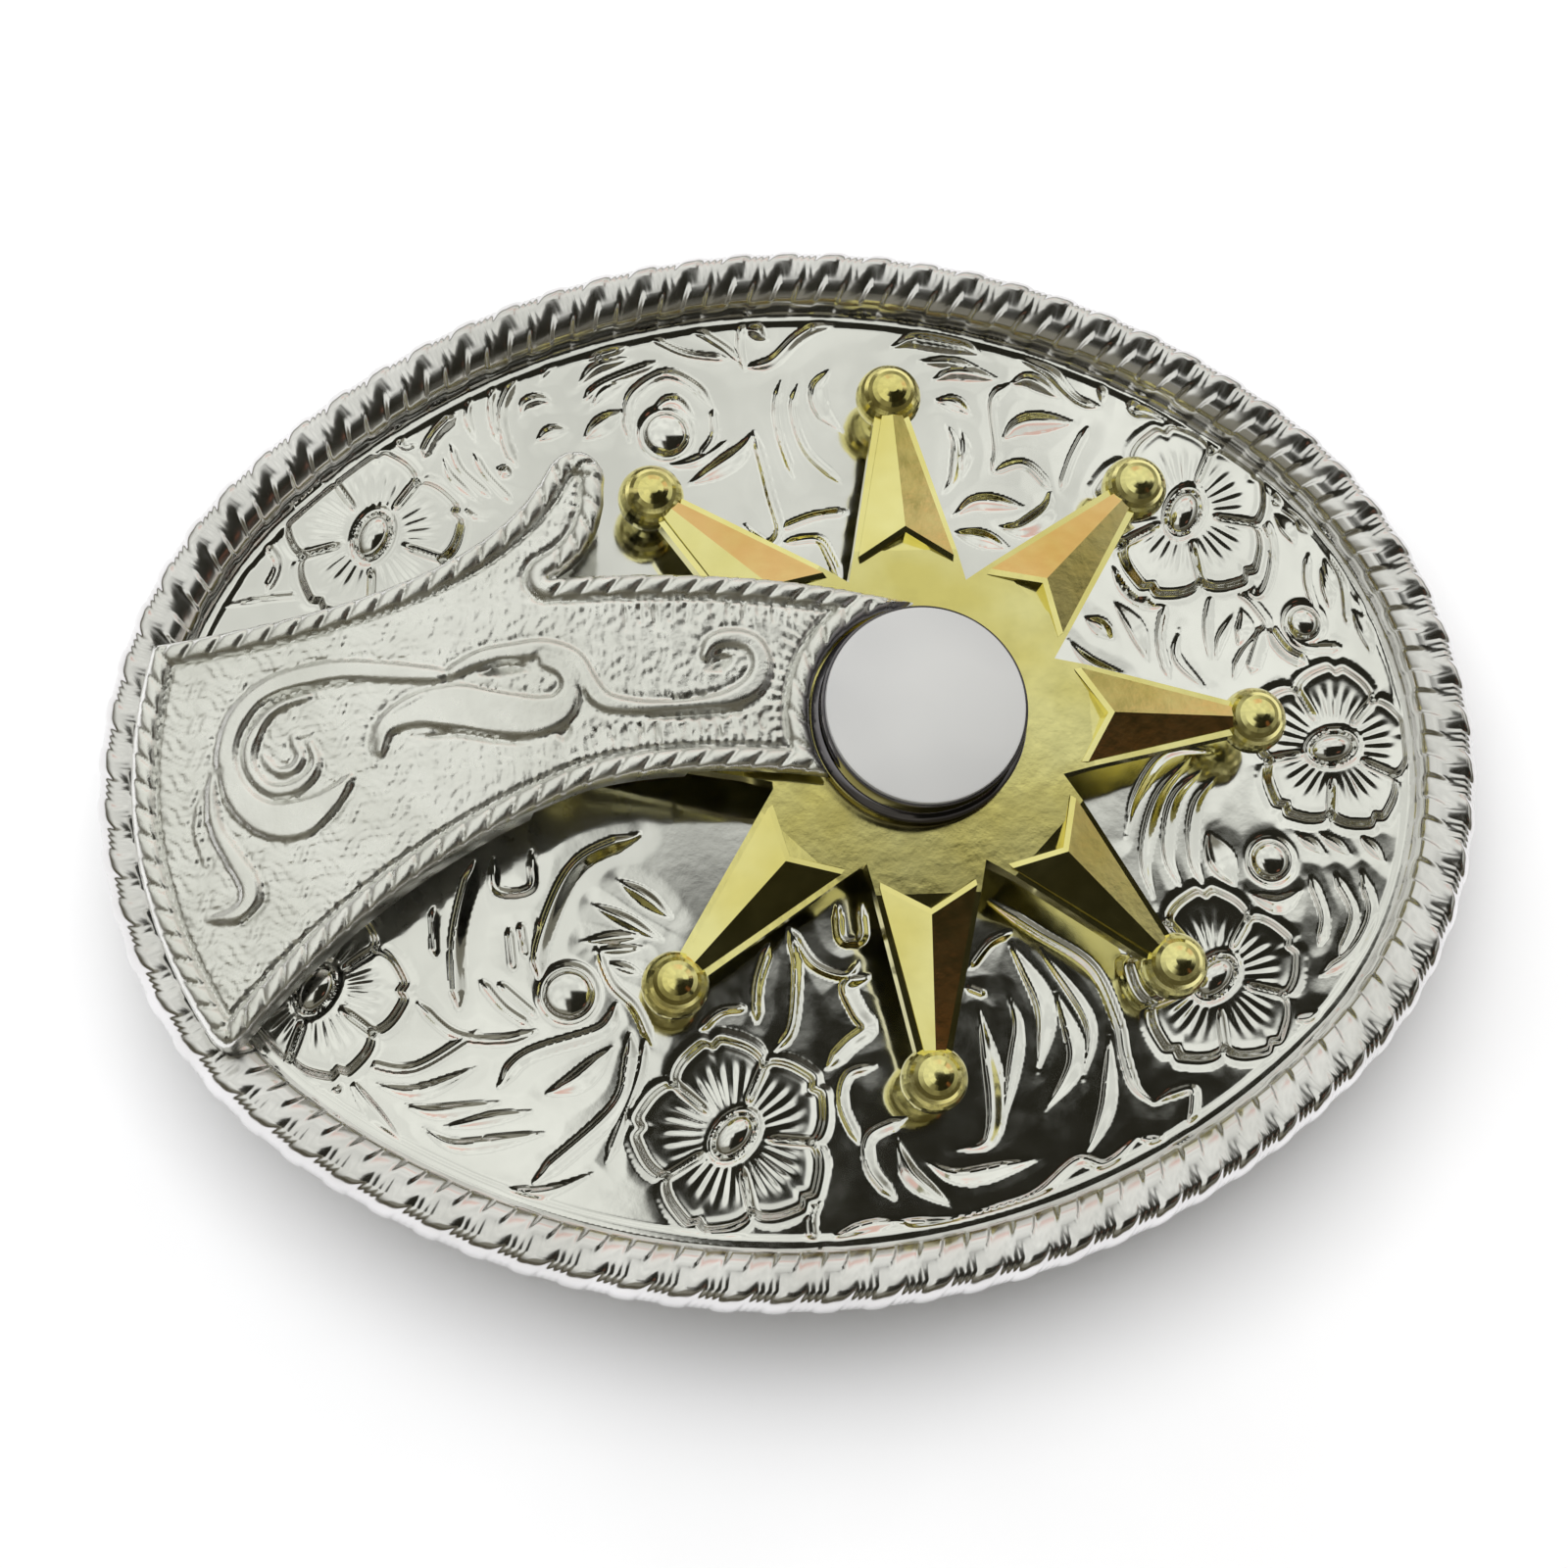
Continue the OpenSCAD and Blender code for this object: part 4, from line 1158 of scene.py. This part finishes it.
class Shade:
    """Small arithmetic on node sockets for the world."""

    def __init__(self, tree):
        self.tree = tree

    def math(self, operation, a, b):
        node = add_node(self.tree, "Math")
        node.operation = operation
        feed(self.tree, node.inputs[0], a)
        feed(self.tree, node.inputs[1], b)
        return node.outputs["Value"]

    def ramp(self, value, low, high):
        """0 below low, 1 above high, smooth between."""
        node = add_node(self.tree, "MapRange", Value=value, From_Min=low, From_Max=high)
        node.interpolation_type = "SMOOTHSTEP"
        return node.outputs["Result"]

    def between(self, value, low, high, soft):
        """1 from low to high, with soft edges."""
        rise = self.ramp(value, low - soft, low + soft)
        fall = self.math("SUBTRACT", 1.0, self.ramp(value, high - soft, high + soft))
        return self.math("MULTIPLY", rise, fall)

    def area(self, *bands):
        """1 where every value is in its (value, low, high, soft) band, 0 outside."""
        amount = 1.0
        for band in bands:
            amount = self.math("MULTIPLY", amount, self.between(*band))
        return amount

    def mix(self, amount, a, b):
        """Colour a, and colour b where the amount is 1."""
        node = add_node(self.tree, "Mix", Factor=amount)
        node.data_type = "RGBA"
        for socket, colour in ((node.inputs[6], a), (node.inputs[7], b)):
            feed(self.tree, socket, (*colour, 1) if isinstance(colour, tuple) else colour)
        return node.outputs[2]


OPEN_END = 99.0
BLACK = (0.02, 0.019, 0.013)
BROWN = (0.22, 0.09, 0.055)
SALMON = (0.95, 0.52, 0.42)


def studio_world():
    """A white light tent with a dark opening beside the camera and a dim, warm horizon."""
    world = bpy.data.worlds.new("studio")
    world.use_nodes = True
    tree = world.node_tree
    shade = Shade(tree)
    direction = add_node(tree, "TexCoord").outputs["Generated"]
    x, y, z = add_node(tree, "SeparateXYZ", Vector=direction).outputs
    up = shade.math("MAXIMUM", z, 0.001)
    u = shade.math("DIVIDE", x, up)
    v = shade.math("DIVIDE", y, up)
    gap = shade.math("SUBTRACT", v, u)

    lean = shade.math("ADD", shade.math("MULTIPLY", y, 0.5), shade.math("MULTIPLY", x, 0.15))
    lean = shade.math("ADD", z, lean)
    wall = shade.math("MULTIPLY", shade.ramp(lean, 0.1, 0.85), shade.ramp(z, -0.1, 0.4))
    tent = shade.mix(wall, (0.10, 0.09, 0.06), (0.90, 0.91, 0.84))

    # a salmon band low on the north side, with a white gap in it
    salmon = shade.area((z, 0.45, 0.58, 0.03), (u, -0.15, OPEN_END, 0.15), (y, 0.4, OPEN_END, 0.1))
    beside_gap = shade.math("SUBTRACT", 1.0, shade.between(gap, 0.04, 0.75, 0.015))
    salmon = shade.math("MULTIPLY", salmon, beside_gap)
    tent = shade.mix(shade.math("MULTIPLY", salmon, 0.7), tent, SALMON)

    # colour, then the bands of direction that it fills; later rows cover earlier ones
    hangings = [
        ((0.30, 0.29, 0.17), (gap, 0.05, 0.3, 0.03), (u, 0.9, 1.3, 0.08)),
        ((0.26, 0.25, 0.20), (u, -1.2, 0.2, 0.15), (v, -1.7, -0.48, 0.08)),
        ((0.06, 0.055, 0.042), (u, -0.12, 0.2, 0.04), (v, -0.75, 0.02, 0.04)),
        (BLACK, (u, 0.03, 1.6, 0.03), (v, -1.1, 0.2, 0.03)),
        (BLACK, (u, 1.05, 1.6, 0.06), (v, -0.75, 0.35, 0.04)),
        (BROWN, (u, 0.72, 1.0, 0.06), (v, -0.62, -0.42, 0.03)),
        (BROWN, (u, 1.0, 1.5, 0.1), (v, 0.38, 0.5, 0.05)),
    ]
    for colour, *bands in hangings:
        tent = shade.mix(shade.area(*bands), tent, colour)

    folds = shade.ramp(noise(tree, 5.0, 2.0, "Generated"), 0.35, 0.65)
    dimmed = add_node(tree, "VectorMath")
    dimmed.operation = "SCALE"
    feed(tree, dimmed.inputs["Vector"], tent)
    feed(tree, dimmed.inputs["Scale"], 0.8)
    tent = shade.mix(folds, tent, dimmed.outputs["Vector"])
    seen = add_node(tree, "LightPath").outputs["Is Camera Ray"]
    feed(tree, tree.nodes["Background"].inputs["Color"], shade.mix(seen, tent, (0.97, 0.97, 0.97)))
    bpy.context.scene.world = world


studio_world()

# ---- lamp and camera, in metres

lamp_data = bpy.data.lights.new("soft_top", "AREA")
lamp_data.energy = 9.0
lamp_data.size = 0.9
lamp = bpy.data.objects.new("soft_top", lamp_data)
lamp.location = (-0.15, 0.2, 0.9)
lamp.rotation_euler = (Vector((0, 0, 0)) - lamp.location).to_track_quat("-Z", "Y").to_euler()
lamp.visible_glossy = False
bpy.context.scene.collection.objects.link(lamp)

CAMERA_DISTANCE = 0.230
CAMERA_LEAN = Vector((-0.140, -0.230, 1.0)).normalized()
CAMERA_ROLL = -0.099
camera_data = bpy.data.cameras.new("photo_view")
camera_data.sensor_width = 36.0
camera_data.lens = 76.1
camera_data.shift_x = -0.0141
camera_data.shift_y = -0.0115
camera_data.clip_start = 0.01
camera = bpy.data.objects.new("photo_view", camera_data)
across = Vector((0, 1, 0)).cross(CAMERA_LEAN).normalized()
upward = CAMERA_LEAN.cross(across)
right = across * math.cos(CAMERA_ROLL) + upward * math.sin(CAMERA_ROLL)
over = -across * math.sin(CAMERA_ROLL) + upward * math.cos(CAMERA_ROLL)
turn = Matrix((right, over, CAMERA_LEAN)).transposed().to_4x4()
camera_place = Vector((0, 0, FIELD_Z * MM)) + CAMERA_LEAN * CAMERA_DISTANCE
camera.matrix_world = Matrix.Translation(camera_place) @ turn
bpy.context.scene.collection.objects.link(camera)
bpy.context.scene.camera = camera
bpy.context.scene.view_settings.view_transform = "Standard"
